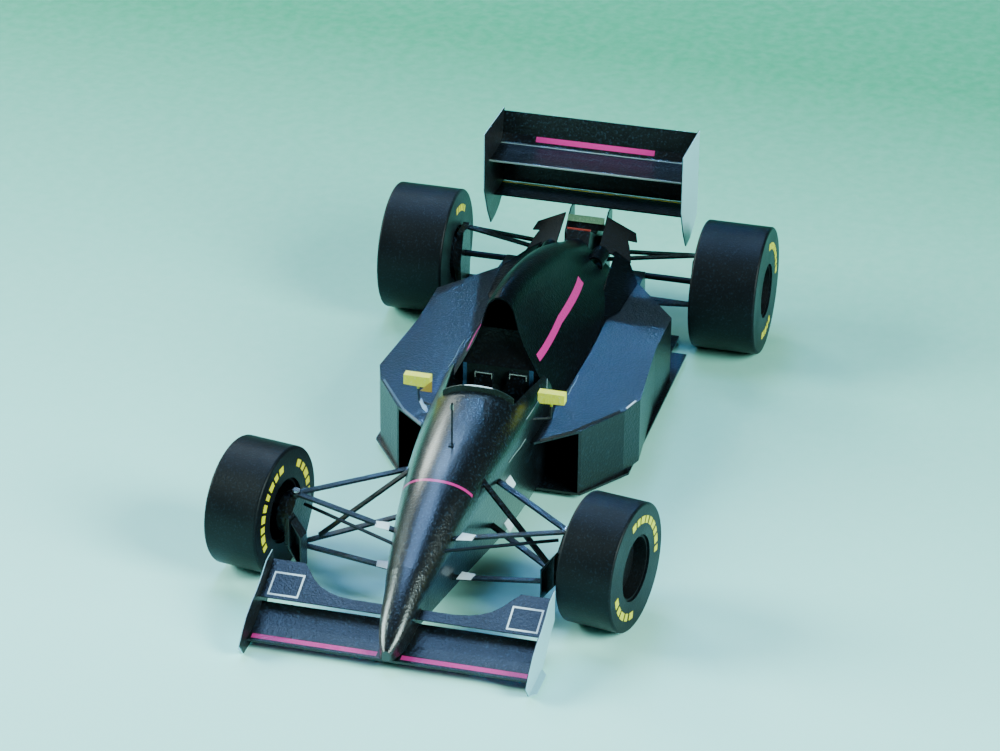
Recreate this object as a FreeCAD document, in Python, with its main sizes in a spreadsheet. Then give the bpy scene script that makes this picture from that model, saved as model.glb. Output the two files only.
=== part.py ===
import FreeCAD, Part
import math
import os
import re

import Sketcher
from FreeCAD import Placement, Rotation, Vector

# Open wheel racing car built from printed card, about 1:24.
# X points forward to the nose, Y to the car's left and Z up, all in millimetres.
# The origin lies on the ground under the middle of the car's length.

SIZES = [
    # card
    ("card", 0.3),
    ("board", 0.5),
    # wheels
    ("wheelbase", 120.8),
    ("front_axle_x", 52.0),
    ("front_wheel_y", 36.5),
    ("front_tyre_radius", 13.2),
    ("front_tyre_width", 11.6),
    ("front_bore_radius", 6.8),
    ("rear_wheel_y", 35.5),
    ("rear_tyre_radius", 14.2),
    ("rear_tyre_width", 14.8),
    ("rear_bore_radius", 6.1),
    ("shoulder_radius", 0.55),
    ("rim_recess", 3.2),
    ("rim_plate", 0.8),
    ("rim_lip", 0.5),
    ("rim_gap", 0.05),
    ("hub_radius", 2.2),
    ("hub_length", 5.0),
    ("axle_radius", 1.0),
    ("axle_clearance", 0.08),
    ("axle_tip", 0.4),
    # steering
    ("kingpin_lead", 0.5),
    ("kingpin_y", 28.0),
    ("kingpin_radius", 0.45),
    ("kingpin_clearance", 0.06),
    ("kingpin_head_radius", 0.8),
    ("kingpin_head", 0.35),
    ("rest_steer", 9.75),
    # monocoque
    ("hull_lead", 17.6),
    ("hull_back_x", 0.5),
    ("hull_half_width", 12.0),
    ("hull_height", 27.0),
    ("hull_wall", 0.5),
    ("footwell_lead", -4.0),
    ("cockpit_front_x", 17.0),
    ("cockpit_front_half", 7.5),
    ("cockpit_back_half", 9.8),
    ("cockpit_sill_z", 20.0),
    ("screen_height", 1.3),
    ("seat_half_width", 7.5),
    ("seat_back_rise", 4.3),
    ("seat_front_x", 24.0),
    ("seat_base_z", 3.2),
    ("headrest_top_z", 31.5),
    ("headrest_lean", 3.2),
    # nose
    ("nose_length", 15.2),
    # floor
    ("floor_z", 1.2),
    ("floor_front_half", 19.9),
    ("floor_half_width", 27.6),
    ("floor_flare_length", 11.4),
    ("floor_lead", 2.8),
    ("floor_step_length", 8.2),
    ("floor_step", 3.5),
    ("diffuser_half_width", 12.5),
    ("diffuser_length", 14.0),
    # sidepods
    ("pod_top_z", 16.3),
    ("pod_tip_x", 16.2),
    ("pod_tip_half", 11.6),
    ("pod_inlet_x", 8.6),
    ("pod_inlet_half", 19.8),
    ("pod_half_width", 28.4),
    ("pod_inner_y", 9.0),
    ("pod_lead", 2.3),
    ("pod_back_half", 15.9),
    ("pod_bevel", 1.2),
    # engine cover
    ("cover_lead", 2.8),
    ("cover_top_z", 40.4),
    ("cover_half_width", 13.2),
    ("cover_wall", 0.45),
    ("airbox_depth", 12.0),
    ("outlet_radius", 1.9),
    ("outlet_length", 6.0),
    ("outlet_y", 5.7),
    ("outlet_z", 19.7),
    # rear wing
    ("rear_wing_half", 22.4),
    ("rear_wing_top_z", 42.9),
    ("rear_wing_setback", 2.2),
    ("rear_wing_chord", 17.0),
    ("main_plane_z", 34.7),
    ("main_plane_chord", 13.2),
    ("flap_height", 6.8),
    ("beam_plane_z", 24.2),
    ("beam_plane_chord", 8.4),
    ("beam_flap_height", 5.6),
    ("endplate_drop", 24.4),
    # front wing
    ("front_wing_half", 28.5),
    ("front_wing_setback", 1.3),
    ("front_wing_z", 1.9),
    ("front_wing_chord", 10.0),
    ("front_wing_rise", 2.9),
    ("front_flap_setback", 8.8),
    ("front_flap_z", 6.8),
    ("front_flap_chord", 9.6),
    ("front_flap_angle", 21.0),
    ("endplate_lead", 4.5),
    ("endplate_gap", 0.9),
    ("endplate_top_z", 12.7),
    ("endplate_low_z", 0.3),
    ("foot_width", 1.3),
    # front suspension
    ("strip_width", 1.3),
    ("strip_thickness", 0.5),
    ("eye_radius", 1.2),
    ("upper_arm_z", 18.1),
    ("lower_arm_z", 6.6),
    ("upper_arm_front_lead", 6.1),
    ("upper_arm_back_lead", -18.0),
    ("upper_arm_front_z", 15.9),
    ("upper_arm_back_z", 17.5),
    ("lower_arm_front_lead", 6.2),
    ("lower_arm_back_lead", -15.0),
    ("lower_arm_front_z", 7.3),
    ("lower_arm_back_z", 8.6),
    ("track_rod_radius", 0.35),
    ("track_rod_lead", 9.8),
    ("track_rod_z", 15.2),
    ("track_rod_gap", 1.9),
    ("track_rod_drop", 1.9),
    ("push_rod_width", 1.2),
    ("push_rod_lead", -10.4),
    ("push_rod_z", 20.9),
    ("upright_width", 8.4),
    ("upright_depth", 1.5),
    ("duct_width", 2.9),
    ("duct_length", 2.6),
    ("duct_lead", 2.6),
    ("drum_inset", 2.5),
    ("drum_depth", 1.8),
    # rear corners
    ("rear_upright_y", 27.0),
    ("rear_drum_inset", 1.5),
    ("rear_upright_width", 7.0),
    ("rear_upper_arm_z", 19.3),
    ("rear_lower_arm_z", 6.9),
    ("rear_arm_front", -1.5),
    ("rear_arm_back", -6.3),
    ("rear_arm_offset", 3.0),
    ("drive_shaft_radius", 0.7),
    # gearbox and tail
    ("gearbox_half_width", 4.2),
    ("gearbox_lead", 20.8),
    ("gearbox_tail", 13.2),
    ("gearbox_top_z", 20.2),
    ("light_height", 3.6),
    ("light_half_width", 2.7),
    ("light_lead", 0.3),
    ("vane_length", 9.5),
    ("vane_half_width", 13.3),
    ("vane_pitch", 22.5),
    ("vane_roll", 26.0),
    # mirrors and antenna
    ("mirror_x", 12.1),
    ("mirror_y", 14.3),
    ("mirror_z", 25.1),
    ("mirror_width", 5.6),
    ("mirror_height", 2.4),
    ("mirror_depth", 2.0),
    ("stalk_radius", 0.28),
    ("antenna_lead", -14.6),
    ("antenna_height", 9.8),
    ("antenna_radius", 0.18),
    ("overrun", 1.0),
]
NAMES = {name for name, number in SIZES}

# Frames of the hull and nose: station, bottom, half width, shoulder and top.
HULL_SHARES = [
    (0.0, 0.063, 0.98, 0.68, 1.0),
    (0.24, 0.063, 0.91, 0.674, 1.0),
    (0.45, 0.096, 0.817, 0.659, 0.963),
    (0.62, 0.137, 0.70, 0.622, 0.904),
    (0.77, 0.167, 0.583, 0.556, 0.807),
    (0.88, 0.181, 0.492, 0.481, 0.696),
    (1.0, 0.181, 0.375, 0.40, 0.563),
]
NOSE_SHARES = [
    (0.0, 0.181, 0.375, 0.40, 0.563),
    (0.5, 0.137, 0.27, 0.30, 0.407),
    (0.83, 0.105, 0.175, 0.21, 0.275),
    (1.0, 0.11, 0.07, 0.15, 0.19),
]
BELLY_SHARE = 0.93
ARCH_SHARES = [(1.0, 0.0), (0.93, 0.42), (0.71, 0.75), (0.37, 0.95), (0.0, 1.0)]
FOOTWELL_SHARE = 0.7
ANTENNA_FOOT_SHARE = 0.93

# Sections of the engine cover: station, half width and top, then the shape of one side.
COVER_SHARES = [
    (0.0, 0.87, 1.0),
    (0.244, 0.98, 0.95),
    (0.478, 1.0, 0.80),
    (0.713, 0.94, 0.58),
    (0.902, 0.76, 0.36),
    (1.0, 0.62, 0.26),
]
COVER_SIDE_SHARES = [
    (1.0, 0.0), (0.92, 0.10), (0.80, 0.23), (0.62, 0.40), (0.45, 0.57),
    (0.35, 0.71), (0.29, 0.83), (0.20, 0.94), (0.0, 1.0),
]

# Edges of the sidepod: distance behind the inlet and half width.
POD_SHARES = [(0.14, 0.93), (0.22, 1.0), (0.52, 0.93), (0.73, 0.93)]
POD_WAIST_SHARE = 0.91

# Outlines of flat pieces: across and up.
UPRIGHT_SHARES = [
    (0.30, 0.04), (0.45, 0.12), (0.45, 0.74), (0.14, 0.96), (-0.55, 0.92), (-0.68, 0.5), (-0.30, 0.04)]
DUCT_SHARES = [(0.0, -0.21), (0.0, 0.41), (1.0, 0.75), (1.0, 0.13)]
FRONT_FLAP_SHARES = [
    (0.0, 0.11), (0.0, 1.0), (-1.0, 1.0), (-1.0, 0.77), (-0.80, 0.715), (-0.62, 0.67), (-0.46, 0.61),
    (-0.35, 0.54), (-0.28, 0.46), (-0.25, 0.36), (-0.25, 0.11)]
FRONT_PLANE_SHARES = [(0.0, 0.0), (-0.25, 0.07), (-0.5, 0.27), (-0.75, 0.58), (-1.0, 1.0)]
FRONT_ENDPLATE_SHARES = [
    (0.0, 0.24), (-0.10, 0.41), (-0.24, 0.58), (-0.38, 0.67), (-0.52, 0.73), (-0.68, 0.84), (-0.82, 0.97),
    (-1.0, 1.0), (-1.0, 0.46), (-0.84, 0.31), (-0.72, 0.14), (-0.60, 0.0), (-0.11, 0.0)]
FOOT_SHARES = [(-0.10, 0.0), (-0.16, 1.0), (-0.48, 1.0), (-0.56, 0.0)]
REAR_ENDPLATE_SHARES = [
    (1.0, 1.0), (1.0, 0.44), (0.82, 0.18), (0.64, 0.0), (0.42, 0.01), (0.22, 0.05), (0.0, 0.14), (0.0, 0.97)]
MAIN_PLANE_SHARES = [(1.0, 0.0), (0.75, -0.6), (0.5, -1.0), (0.25, -0.7), (0.0, 0.0)]
FLAP_SHARES = [(9.0, 0.06), (5.0, 0.30), (1.0, 1.0)]
BEAM_FLAP_SHARES = [(3.0, 0.06), (2.0, 0.45), (1.0, 1.0)]
PYLON_FOOT_SHARE = 0.4
VANE_SHARES = [
    (0.0, 0.40), (0.0, 1.0), (-0.42, 0.9), (-0.60, 0.84), (-0.66, 1.0), (-0.9, 0.94), (-1.0, 0.40)]
REAR_UPRIGHT_SHARES = [(0.4, 0.0), (0.55, 0.5), (0.2, 1.0), (-0.6, 1.0), (-0.66, 0.5), (-0.6, 0.0)]
MIRROR_SHARES = [(-0.42, -0.5), (0.5, -0.4), (0.5, 0.5), (-0.5, 0.5), (-0.5, -0.2)]
SEAT_SHARES = [(0.12, 0.55), (0.28, 0.10), (0.50, 0.0), (0.78, 0.13), (1.0, 0.20)]

# Places inside the hull's half width where the arms and rods end.
FRONT_MOUNT_SHARE = 0.4
BACK_MOUNT_SHARE = 0.6
REAR_MOUNT_SHARE = 0.8

# Places that keep their distance from the axles.
REAR_AXLE = "(front_axle_x - wheelbase)"
COVER_BACK = "(front_axle_x - wheelbase + cover_lead)"
POD_BACK = "(front_axle_x - wheelbase + pod_lead)"
FLOOR_BACK = "(front_axle_x - wheelbase + floor_lead)"
LIGHT_FRONT = "(front_axle_x - wheelbase + light_lead)"
GEARBOX_BACK = "(front_axle_x - wheelbase - gearbox_tail)"
KINGPIN = "(front_axle_x + kingpin_lead)"
FRONT_WING = "(front_axle_x + hull_lead + nose_length - front_wing_setback)"
ENDPLATE_LENGTH = "(hull_lead + nose_length - front_wing_setback + endplate_lead - front_tyre_radius - endplate_gap)"

SIDES = (("left", 1), ("right", -1))

doc = FreeCAD.newDocument("RacingCar")
sheet = doc.addObject("Spreadsheet::Sheet", "Sizes")


def fill_sheet():
    """Write each named size into the sheet, one row each."""
    for row, (name, number) in enumerate(SIZES, start=1):
        sheet.set("A%d" % row, name)
        sheet.set("B%d" % row, str(number))
        sheet.setAlias("B%d" % row, name)
    doc.recompute()


def size(name):
    """Give the number in the named cell."""
    return float(sheet.get(name))


def front_x(lead):
    """Give the place that lies the named lead in front of the front axle."""
    return size("front_axle_x") + size(lead)


def rear_x(lead):
    """Give the place that lies the named lead in front of the rear axle."""
    return size("front_axle_x") - size("wheelbase") + size(lead)


def formula(text):
    """Put the sheet's name before each size that a formula uses."""
    return re.sub(r"[a-z_]+", lambda word: ("Sizes." if word.group(0) in NAMES else "") + word.group(0), text)


def bind(thing, **formulas):
    """Tie properties of an object to formulas in the sheet's names."""
    for name, text in formulas.items():
        thing.setExpression(name, formula(text))


def spread(shares, across, width, up, height):
    """Turn a table of shares into an outline of formulas."""
    return [
        ("%s + (%s) * (%s)" % (across, along, width), "%s + (%s) * (%s)" % (up, rise, height))
        for along, rise in shares]


def folded(line, across="0", up="card"):
    """Close an open line of formulas by returning along it, shifted by one sheet's thickness."""
    back = [("%s + %s" % (x, across), "%s + %s" % (z, up)) for x, z in reversed(line)]
    return line + back


def plane_of(body, role):
    """Find an origin plane of a body by its role."""
    return next(item for item in body.Origin.OriginFeatures if item.Role == role)


def add_sketch(body, role, outline, offset=None):
    """Draw a closed outline whose corners are tied to formulas."""
    sketch = body.newObject("Sketcher::SketchObject", "Outline")
    sketch.AttachmentSupport = [(plane_of(body, role), "")]
    sketch.MapMode = "FlatFace"
    if offset:
        sketch.setExpression("AttachmentOffset.Base.z", formula(offset))
    count = len(outline)
    corners = [Vector(math.cos(math.tau * n / count), math.sin(math.tau * n / count), 0) for n in range(count)]
    for n in range(count):
        sketch.addGeometry(Part.LineSegment(corners[n], corners[(n + 1) % count]), False)
    for n in range(count):
        sketch.addConstraint(Sketcher.Constraint("Coincident", n, 2, (n + 1) % count, 1))
    for n, (across, up) in enumerate(outline):
        for kind, text in (("DistanceX", across), ("DistanceY", up)):
            index = sketch.addConstraint(Sketcher.Constraint(kind, -1, 1, n, 1, 1.0))
            sketch.setExpression("Constraints[%d]" % index, formula(text))
    return sketch


def panel(label, role, outline, thickness, offset=None):
    """Make a flat panel: an outline on an origin plane, padded along the plane's normal."""
    body = doc.addObject("PartDesign::Body", label)
    body.Label = label
    sketch = add_sketch(body, role, outline, offset)
    pad = body.newObject("PartDesign::Pad", "Sheet")
    pad.Profile = sketch
    bind(pad, Length=thickness)
    return body


def revolved(label, outline):
    """Spin an outline of distance along the axle and radius round the Y axis."""
    body = doc.addObject("PartDesign::Body", label)
    body.Label = label
    sketch = add_sketch(body, "YZ_Plane", outline)
    spun = body.newObject("PartDesign::Revolution", "Turned")
    spun.Profile = sketch
    spun.ReferenceAxis = (sketch, ["H_Axis"])
    spun.Angle = 360.0
    return body


def mirrored(source, label):
    """Copy a left piece to the right side."""
    copy = doc.addObject("Part::Mirroring", label)
    copy.Label = label
    copy.Source = source
    copy.Normal = Vector(0, 1, 0)
    return copy


def shape_object(label, shape):
    """Keep a shape that Part's own functions made."""
    item = doc.addObject("Part::Feature", label)
    item.Label = label
    item.Shape = shape
    return item


def cut(label, base, *tools):
    """Take tools away from a piece."""
    for tool in tools:
        result = doc.addObject("Part::Cut", "Cut")
        result.Base = base
        result.Tool = tool
        base = result
    result.Label = label
    return result


def fuse(label, *pieces):
    """Glue pieces of one part into one solid."""
    result = doc.addObject("Part::MultiFuse", label + "_fuse")
    result.Shapes = list(pieces)
    result.Label = label
    return result


def strip(name, start, end, width, thickness):
    """Lay a flat card strip between two points."""
    along = end - start
    box = doc.addObject("Part::Box", name)
    box.Length = along.Length
    bind(box, Width=width, Height=thickness)
    side = Vector(0, 0, 1).cross(along)
    turn = Rotation(along, side, along.cross(side), "XYZ")
    middle = Vector(0, -size(width) / 2, -size(thickness) / 2)
    box.Placement = Placement(start + turn.multVec(middle), turn)
    return box


def rod(name, start, end, radius):
    """Run a round rod between two points."""
    along = end - start
    bar = doc.addObject("Part::Cylinder", name)
    bar.Height = along.Length
    bind(bar, Radius=radius)
    bar.Placement = Placement(start, Rotation(Vector(0, 0, 1), along))
    return bar


def box_between(label, low, high):
    """Make a box from two corners given as formulas."""
    box = doc.addObject("Part::Box", label)
    box.Label = label
    for axis, name, first, last in zip("xyz", ("Length", "Width", "Height"), low, high):
        box.setExpression("Placement.Base." + axis, formula(first))
        box.setExpression(name, formula("%s - (%s)" % (last, first)))
    return box


def extrusion(label, source, length):
    """Raise an outline along Z."""
    raised = doc.addObject("Part::Extrusion", label)
    raised.Base = source
    raised.DirMode = "Custom"
    raised.Dir = Vector(0, 0, 1)
    raised.Solid = True
    bind(raised, LengthFwd=length)
    return raised


def smooth_edge(points):
    """Draw one smooth curve through points."""
    curve = Part.BSplineCurve()
    curve.interpolate(points)
    return curve.toShape()


def both_sides(shares, half, x, base, rise):
    """Place a left edge's shares and their mirror image round one section."""
    points = [Vector(x, half * across, base + rise * up) for across, up in shares]
    points += [Vector(x, -half * across, base + rise * up) for across, up in reversed(shares[:-1])]
    return points


def hull_section(x, bottom, half, shoulder, top, inset):
    """Draw a hull frame: flat belly, straight sides and an arched top."""
    arch = both_sides(ARCH_SHARES, half - inset, x, shoulder, top - shoulder - inset)
    belly = half * BELLY_SHARE - inset
    left = Vector(x, belly, bottom + inset)
    right = Vector(x, -belly, bottom + inset)
    return Part.Wire([
        Part.makeLine(right, left), Part.makeLine(left, arch[0]), smooth_edge(arch),
        Part.makeLine(arch[-1], right)])


def hull_loft(start_x, length, shares, inset=0.0):
    """Loft the hull through its frames."""
    height = size("hull_height")
    half_width = size("hull_half_width")
    wires = [
        hull_section(start_x + length * station, height * bottom, half_width * half,
                     height * shoulder, height * top, inset)
        for station, bottom, half, shoulder, top in shares]
    return Part.makeLoft(wires, True, False)


def make_hull():
    """Loft the hull's outside and its hollow, and the nose."""
    back = size("hull_back_x")
    length = front_x("hull_lead") - back
    outside = shape_object("hull_form", hull_loft(back, length, HULL_SHARES))
    nose = shape_object("nose_cone", hull_loft(front_x("hull_lead"), size("nose_length"), NOSE_SHARES))
    rear_frames = [shares for shares in HULL_SHARES if shares[0] <= FOOTWELL_SHARE]
    inside = hull_loft(back, length, rear_frames, size("hull_wall"))
    room = Part.makeBox(
        front_x("footwell_lead"), 2 * size("hull_half_width"), size("hull_height"),
        Vector(back + size("hull_wall"), -size("hull_half_width"), 0))
    hollow = shape_object("hull_hollow", inside.common(room))
    return outside, hollow, nose


def make_monocoque(outside, hollow, floor):
    """Hollow the hull and open its cockpit."""
    opening = panel("cockpit_opening", "XY_Plane", [
        ("cockpit_front_x", "cockpit_front_half"),
        ("hull_back_x - overrun", "cockpit_back_half"),
        ("hull_back_x - overrun", "-cockpit_back_half"),
        ("cockpit_front_x", "-cockpit_front_half"),
    ], "hull_height", "cockpit_sill_z")
    cut("monocoque", outside, hollow, opening, floor)


def make_screen(outside):
    """Raise the low lip in front of the cockpit from the hull's own top."""
    lip = outside.Shape.copy()
    lip.translate(Vector(0, 0, size("screen_height")))
    slot = Part.makeBox(
        size("card"), 2 * size("cockpit_front_half"), size("hull_height"),
        Vector(size("cockpit_front_x"), -size("cockpit_front_half"), size("cockpit_sill_z")))
    shape_object("cockpit_screen", lip.cut(outside.Shape).common(slot))


def cover_section(station, half_share, top_share, inset=0.0, drop=0.0):
    """Draw one section of the engine cover, a spine that flares to the pods."""
    x = size("hull_back_x") - (size("hull_back_x") - rear_x("cover_lead")) * station
    base = size("pod_top_z") + drop
    half = size("cover_half_width") * half_share - inset
    rise = (size("cover_top_z") - size("pod_top_z")) * top_share - inset - drop
    side = both_sides(COVER_SIDE_SHARES, half, x, base, rise)
    return Part.Wire([smooth_edge(side), Part.makeLine(side[-1], side[0])])


def make_engine_cover():
    """Loft the cover, hollow its air intake and set an outlet pipe on each side of its tail."""
    outside = shape_object("cover_form", Part.makeLoft(
        [cover_section(*shares) for shares in COVER_SHARES], True, False))
    inside = Part.makeLoft(
        [cover_section(*shares, size("cover_wall"), size("card")) for shares in COVER_SHARES], True, False)
    room = Part.makeBox(
        size("airbox_depth") + size("overrun"), 2 * size("cover_half_width"), size("cover_top_z"),
        Vector(size("hull_back_x") - size("airbox_depth"), -size("cover_half_width"), size("pod_top_z")))
    airbox = shape_object("airbox_space", inside.common(room))
    tail = Vector(rear_x("cover_lead"), size("outlet_y"), size("outlet_z"))
    pipes = []
    bores = []
    for label, side in SIDES:
        end = Vector(tail.x, side * tail.y, tail.z)
        pipes.append(rod("pipe_" + label, end, end + Vector(size("outlet_length"), 0, 0), "outlet_radius"))
        bore = rod("bore_" + label, end - Vector(size("overrun"), 0, 0),
                   end + Vector(size("outlet_length"), 0, 0), "outlet_radius")
        bind(bore, Radius="outlet_radius - cover_wall")
        bores.append(bore)
    cut("engine_cover", fuse("cover_whole", outside, *pipes), airbox, *bores)
    return airbox


def make_headrest(airbox):
    """Fold the headrest panel to fit inside the cover's mouth."""
    lean = folded([
        ("hull_back_x", "cockpit_sill_z"),
        ("hull_back_x", "cockpit_sill_z + headrest_lean"),
        ("hull_back_x - headrest_lean", "headrest_top_z"),
    ], "-card", "0")
    wide = panel("headrest_panel", "XZ_Plane", lean, "2 * cover_half_width", "-cover_half_width")
    headrest = doc.addObject("Part::MultiCommon", "headrest")
    headrest.Shapes = [wide, airbox]
    headrest.Label = "headrest"


def make_seat():
    """Fold the seat from one card: a reclined back, a pan and a raised front."""
    top = "hull_back_x + hull_wall"
    line = [(top, "cockpit_sill_z + seat_back_rise"), (top, "cockpit_sill_z")]
    line += spread(SEAT_SHARES, top, "(seat_front_x - hull_back_x)", "seat_base_z", "(cockpit_sill_z - seat_base_z)")
    panel("driver_seat", "XZ_Plane", folded(line, "board", "board"), "2 * seat_half_width", "-seat_half_width")


def make_floor():
    """Make the flat floor and its narrow tail."""
    front = "pod_inlet_x + board"
    left = [
        (front, "floor_front_half"),
        (front + " - floor_flare_length", "floor_half_width"),
        (FLOOR_BACK + " + floor_step_length", "floor_half_width"),
        (FLOOR_BACK + " + floor_step_length", "floor_half_width - floor_step"),
        (FLOOR_BACK, "floor_half_width - floor_step"),
        (FLOOR_BACK, "diffuser_half_width"),
        (FLOOR_BACK + " - diffuser_length", "diffuser_half_width"),
    ]
    right = [(x, "-(%s)" % y) for x, y in reversed(left)]
    return panel("floor", "XY_Plane", left + right, "board", "floor_z")


def make_sidepods(outside):
    """Fold one sidepod round an open inlet duct: a top plate and a side skin."""
    span = "(pod_inlet_x - %s)" % POD_BACK
    outline = [
        ("pod_tip_x", "pod_inner_y"),
        ("pod_tip_x", "pod_tip_half"),
        ("pod_inlet_x", "pod_inlet_half"),
    ]
    outline += [
        ("pod_inlet_x - %s * %s" % (along, span), "%s * pod_half_width" % half) for along, half in POD_SHARES]
    outline += [
        ("pod_inlet_x - %s * %s" % (POD_WAIST_SHARE, span), "pod_back_half + card"),
        (POD_BACK, "pod_back_half"),
        (POD_BACK, "pod_inner_y"),
    ]
    block = panel("pod_block", "XY_Plane", outline, "pod_top_z - floor_z - board", "floor_z + board")
    inner_outline = doc.addObject("Part::Offset2D", "pod_inner_outline")
    inner_outline.Source = block.Group[0]
    bind(inner_outline, Value="-board")
    space = extrusion("pod_space", inner_outline, "pod_top_z - floor_z - 2 * board")
    inlet = panel("pod_inlet", "XY_Plane", [
        ("pod_inlet_x - pod_bevel", "pod_inner_y - overrun"),
        ("pod_inlet_x - pod_bevel", "pod_inlet_half - board"),
        ("pod_tip_x + overrun", "pod_inlet_half - board"),
        ("pod_tip_x + overrun", "pod_inner_y - overrun"),
    ], "pod_top_z - floor_z - 2 * board", "floor_z + board")
    flank = box_between(
        "pod_flank",
        (POD_BACK + " + board", "pod_inner_y - overrun", "floor_z + board"),
        ("pod_inlet_x", "pod_inner_y + overrun", "pod_top_z - board"))
    left = cut("sidepod_left", block, space, inlet, flank, outside)
    mirrored(left, "sidepod_right")


def steer_turn(side):
    """Turn a front corner to its resting steer angle about its kingpin."""
    turn = Rotation(Vector(0, 0, 1), -size("rest_steer"))
    pin = Vector(front_x("kingpin_lead"), side * size("kingpin_y"), 0)
    return Placement(pin - turn.multVec(pin), turn)


def make_wheel(end, side_name, side):
    """Make a drum tyre with a recessed rim, outer face towards +Y before it is placed."""
    label = "%s_%s" % (end, side_name)
    half = "%s_tyre_width / 2" % end
    bore = "%s_bore_radius" % end
    outer = "%s_tyre_radius" % end
    tyre = revolved("tyre_" + label, [
        ("-(%s)" % half, bore), (half, bore), (half, outer), ("-(%s)" % half, outer)])
    doc.recompute()
    spun = tyre.Tip
    rims = [
        "Edge%d" % (n + 1) for n, edge in enumerate(spun.Shape.Edges)
        if hasattr(edge.Curve, "Radius") and edge.Curve.Radius > size(outer) - size("card")]
    rounding = tyre.newObject("PartDesign::Fillet", "Shoulders")
    rounding.Base = (spun, rims)
    bind(rounding, Radius="shoulder_radius")
    face = "(%s - rim_recess)" % half
    bore_eye = "axle_radius + axle_clearance"
    rim_edge = bore + " - rim_gap"
    rim = revolved("rim_" + label, [
        (face + " - hub_length", bore_eye),
        (face, bore_eye),
        (face, rim_edge + " - rim_lip"),
        (half + " - rim_lip", rim_edge + " - rim_lip"),
        (half + " - rim_lip", rim_edge),
        ("rim_plate - (%s)" % half, rim_edge),
        ("rim_plate - (%s)" % half, rim_edge + " - rim_lip"),
        (face + " - rim_plate", rim_edge + " - rim_lip"),
        (face + " - rim_plate", "hub_radius"),
        (face + " - hub_length", "hub_radius"),
    ])
    axle = size("front_axle_x") - (size("wheelbase") if end == "rear" else 0)
    outward = Rotation(Vector(0, 0, 1), 0 if side > 0 else 180)
    place = Placement(Vector(axle, side * size("%s_wheel_y" % end), size(outer)), outward)
    if end == "front":
        place = steer_turn(side).multiply(place)
    for piece in (tyre, rim):
        piece.Placement = place


def make_front_upright(side_name, side):
    """Make the upright with its stub axle, brake drum and air duct, and the kingpin it turns on."""
    sign = "" if side > 0 else "-"
    plate = panel("plate_" + side_name, "XZ_Plane", spread(
        UPRIGHT_SHARES, KINGPIN, "upright_width", "lower_arm_z", "(upper_arm_z - lower_arm_z)",
    ), "upright_depth", "-(%s) - upright_depth / 2" % (sign + "kingpin_y"))
    low = Vector(front_x("kingpin_lead"), side * size("kingpin_y"), size("lower_arm_z") - size("strip_thickness"))
    high = Vector(low.x, low.y, size("upper_arm_z") + size("strip_thickness"))
    pin = rod("pin_" + side_name, low, high, "kingpin_radius")
    head = rod("pin_head_" + side_name, high, high + Vector(0, 0, size("kingpin_head")), "kingpin_head_radius")
    outer_face = size("kingpin_y") + size("upright_depth") / 2
    centre = Vector(size("front_axle_x"), side * outer_face, size("front_tyre_radius"))
    axle_out = size("front_wheel_y") + size("front_tyre_width") / 2 - size("rim_recess") + size("axle_tip")
    stub = rod("stub_" + side_name, centre, Vector(centre.x, side * axle_out, centre.z), "axle_radius")
    drum = rod("drum_" + side_name, centre, centre + Vector(0, side * size("drum_depth"), 0), "axle_radius")
    bind(drum, Radius="front_bore_radius - drum_inset")
    duct = make_duct(side_name, sign)
    fuse("kingpin_" + side_name, pin, head).Placement = steer_turn(side)
    plate_holed = cut("upright_plate_" + side_name, plate, pin)
    fuse("front_upright_" + side_name, plate_holed, stub, drum, duct).Placement = steer_turn(side)


def make_duct(side_name, sign):
    """Fold the open air duct that stands inboard of an upright, with its mouth forward."""
    inner_y = "kingpin_y - upright_depth / 2 - duct_width"
    span = "(upper_arm_z - lower_arm_z)"
    start = KINGPIN + " + duct_lead"

    def outline(inset, lift):
        points = spread(DUCT_SHARES, inner_y + " + " + inset, "(duct_width - 2 * %s)" % inset, "lower_arm_z", span)
        lifts = (lift, "-" + lift, "-" + lift, lift)
        return [("%s(%s)" % (sign, y), "%s + %s" % (z, rise)) for (y, z), rise in zip(points, lifts)]

    outside = panel("duct_form_" + side_name, "YZ_Plane", outline("0", "0"), "duct_length", start)
    inside = panel("duct_space_" + side_name, "YZ_Plane", outline("card", "card"), "duct_length", start + " + card")
    return cut("duct_" + side_name, outside, inside)


def eye(name, place):
    """Make the round eye at the end of an arm."""
    ring = doc.addObject("Part::Cylinder", name)
    bind(ring, Radius="eye_radius", Height="strip_thickness")
    ring.Placement = Placement(place - Vector(0, 0, size("strip_thickness") / 2), Rotation())
    return ring


def make_arm(label, outer, inners):
    """Make one wishbone: strips from the outer eye to each inner end."""
    pieces = [strip("%s_leg%d" % (label, n), point, outer, "strip_width", "strip_thickness")
              for n, point in enumerate(inners)]
    return fuse(label + "_whole", eye(label + "_eye", outer), *pieces)


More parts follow.
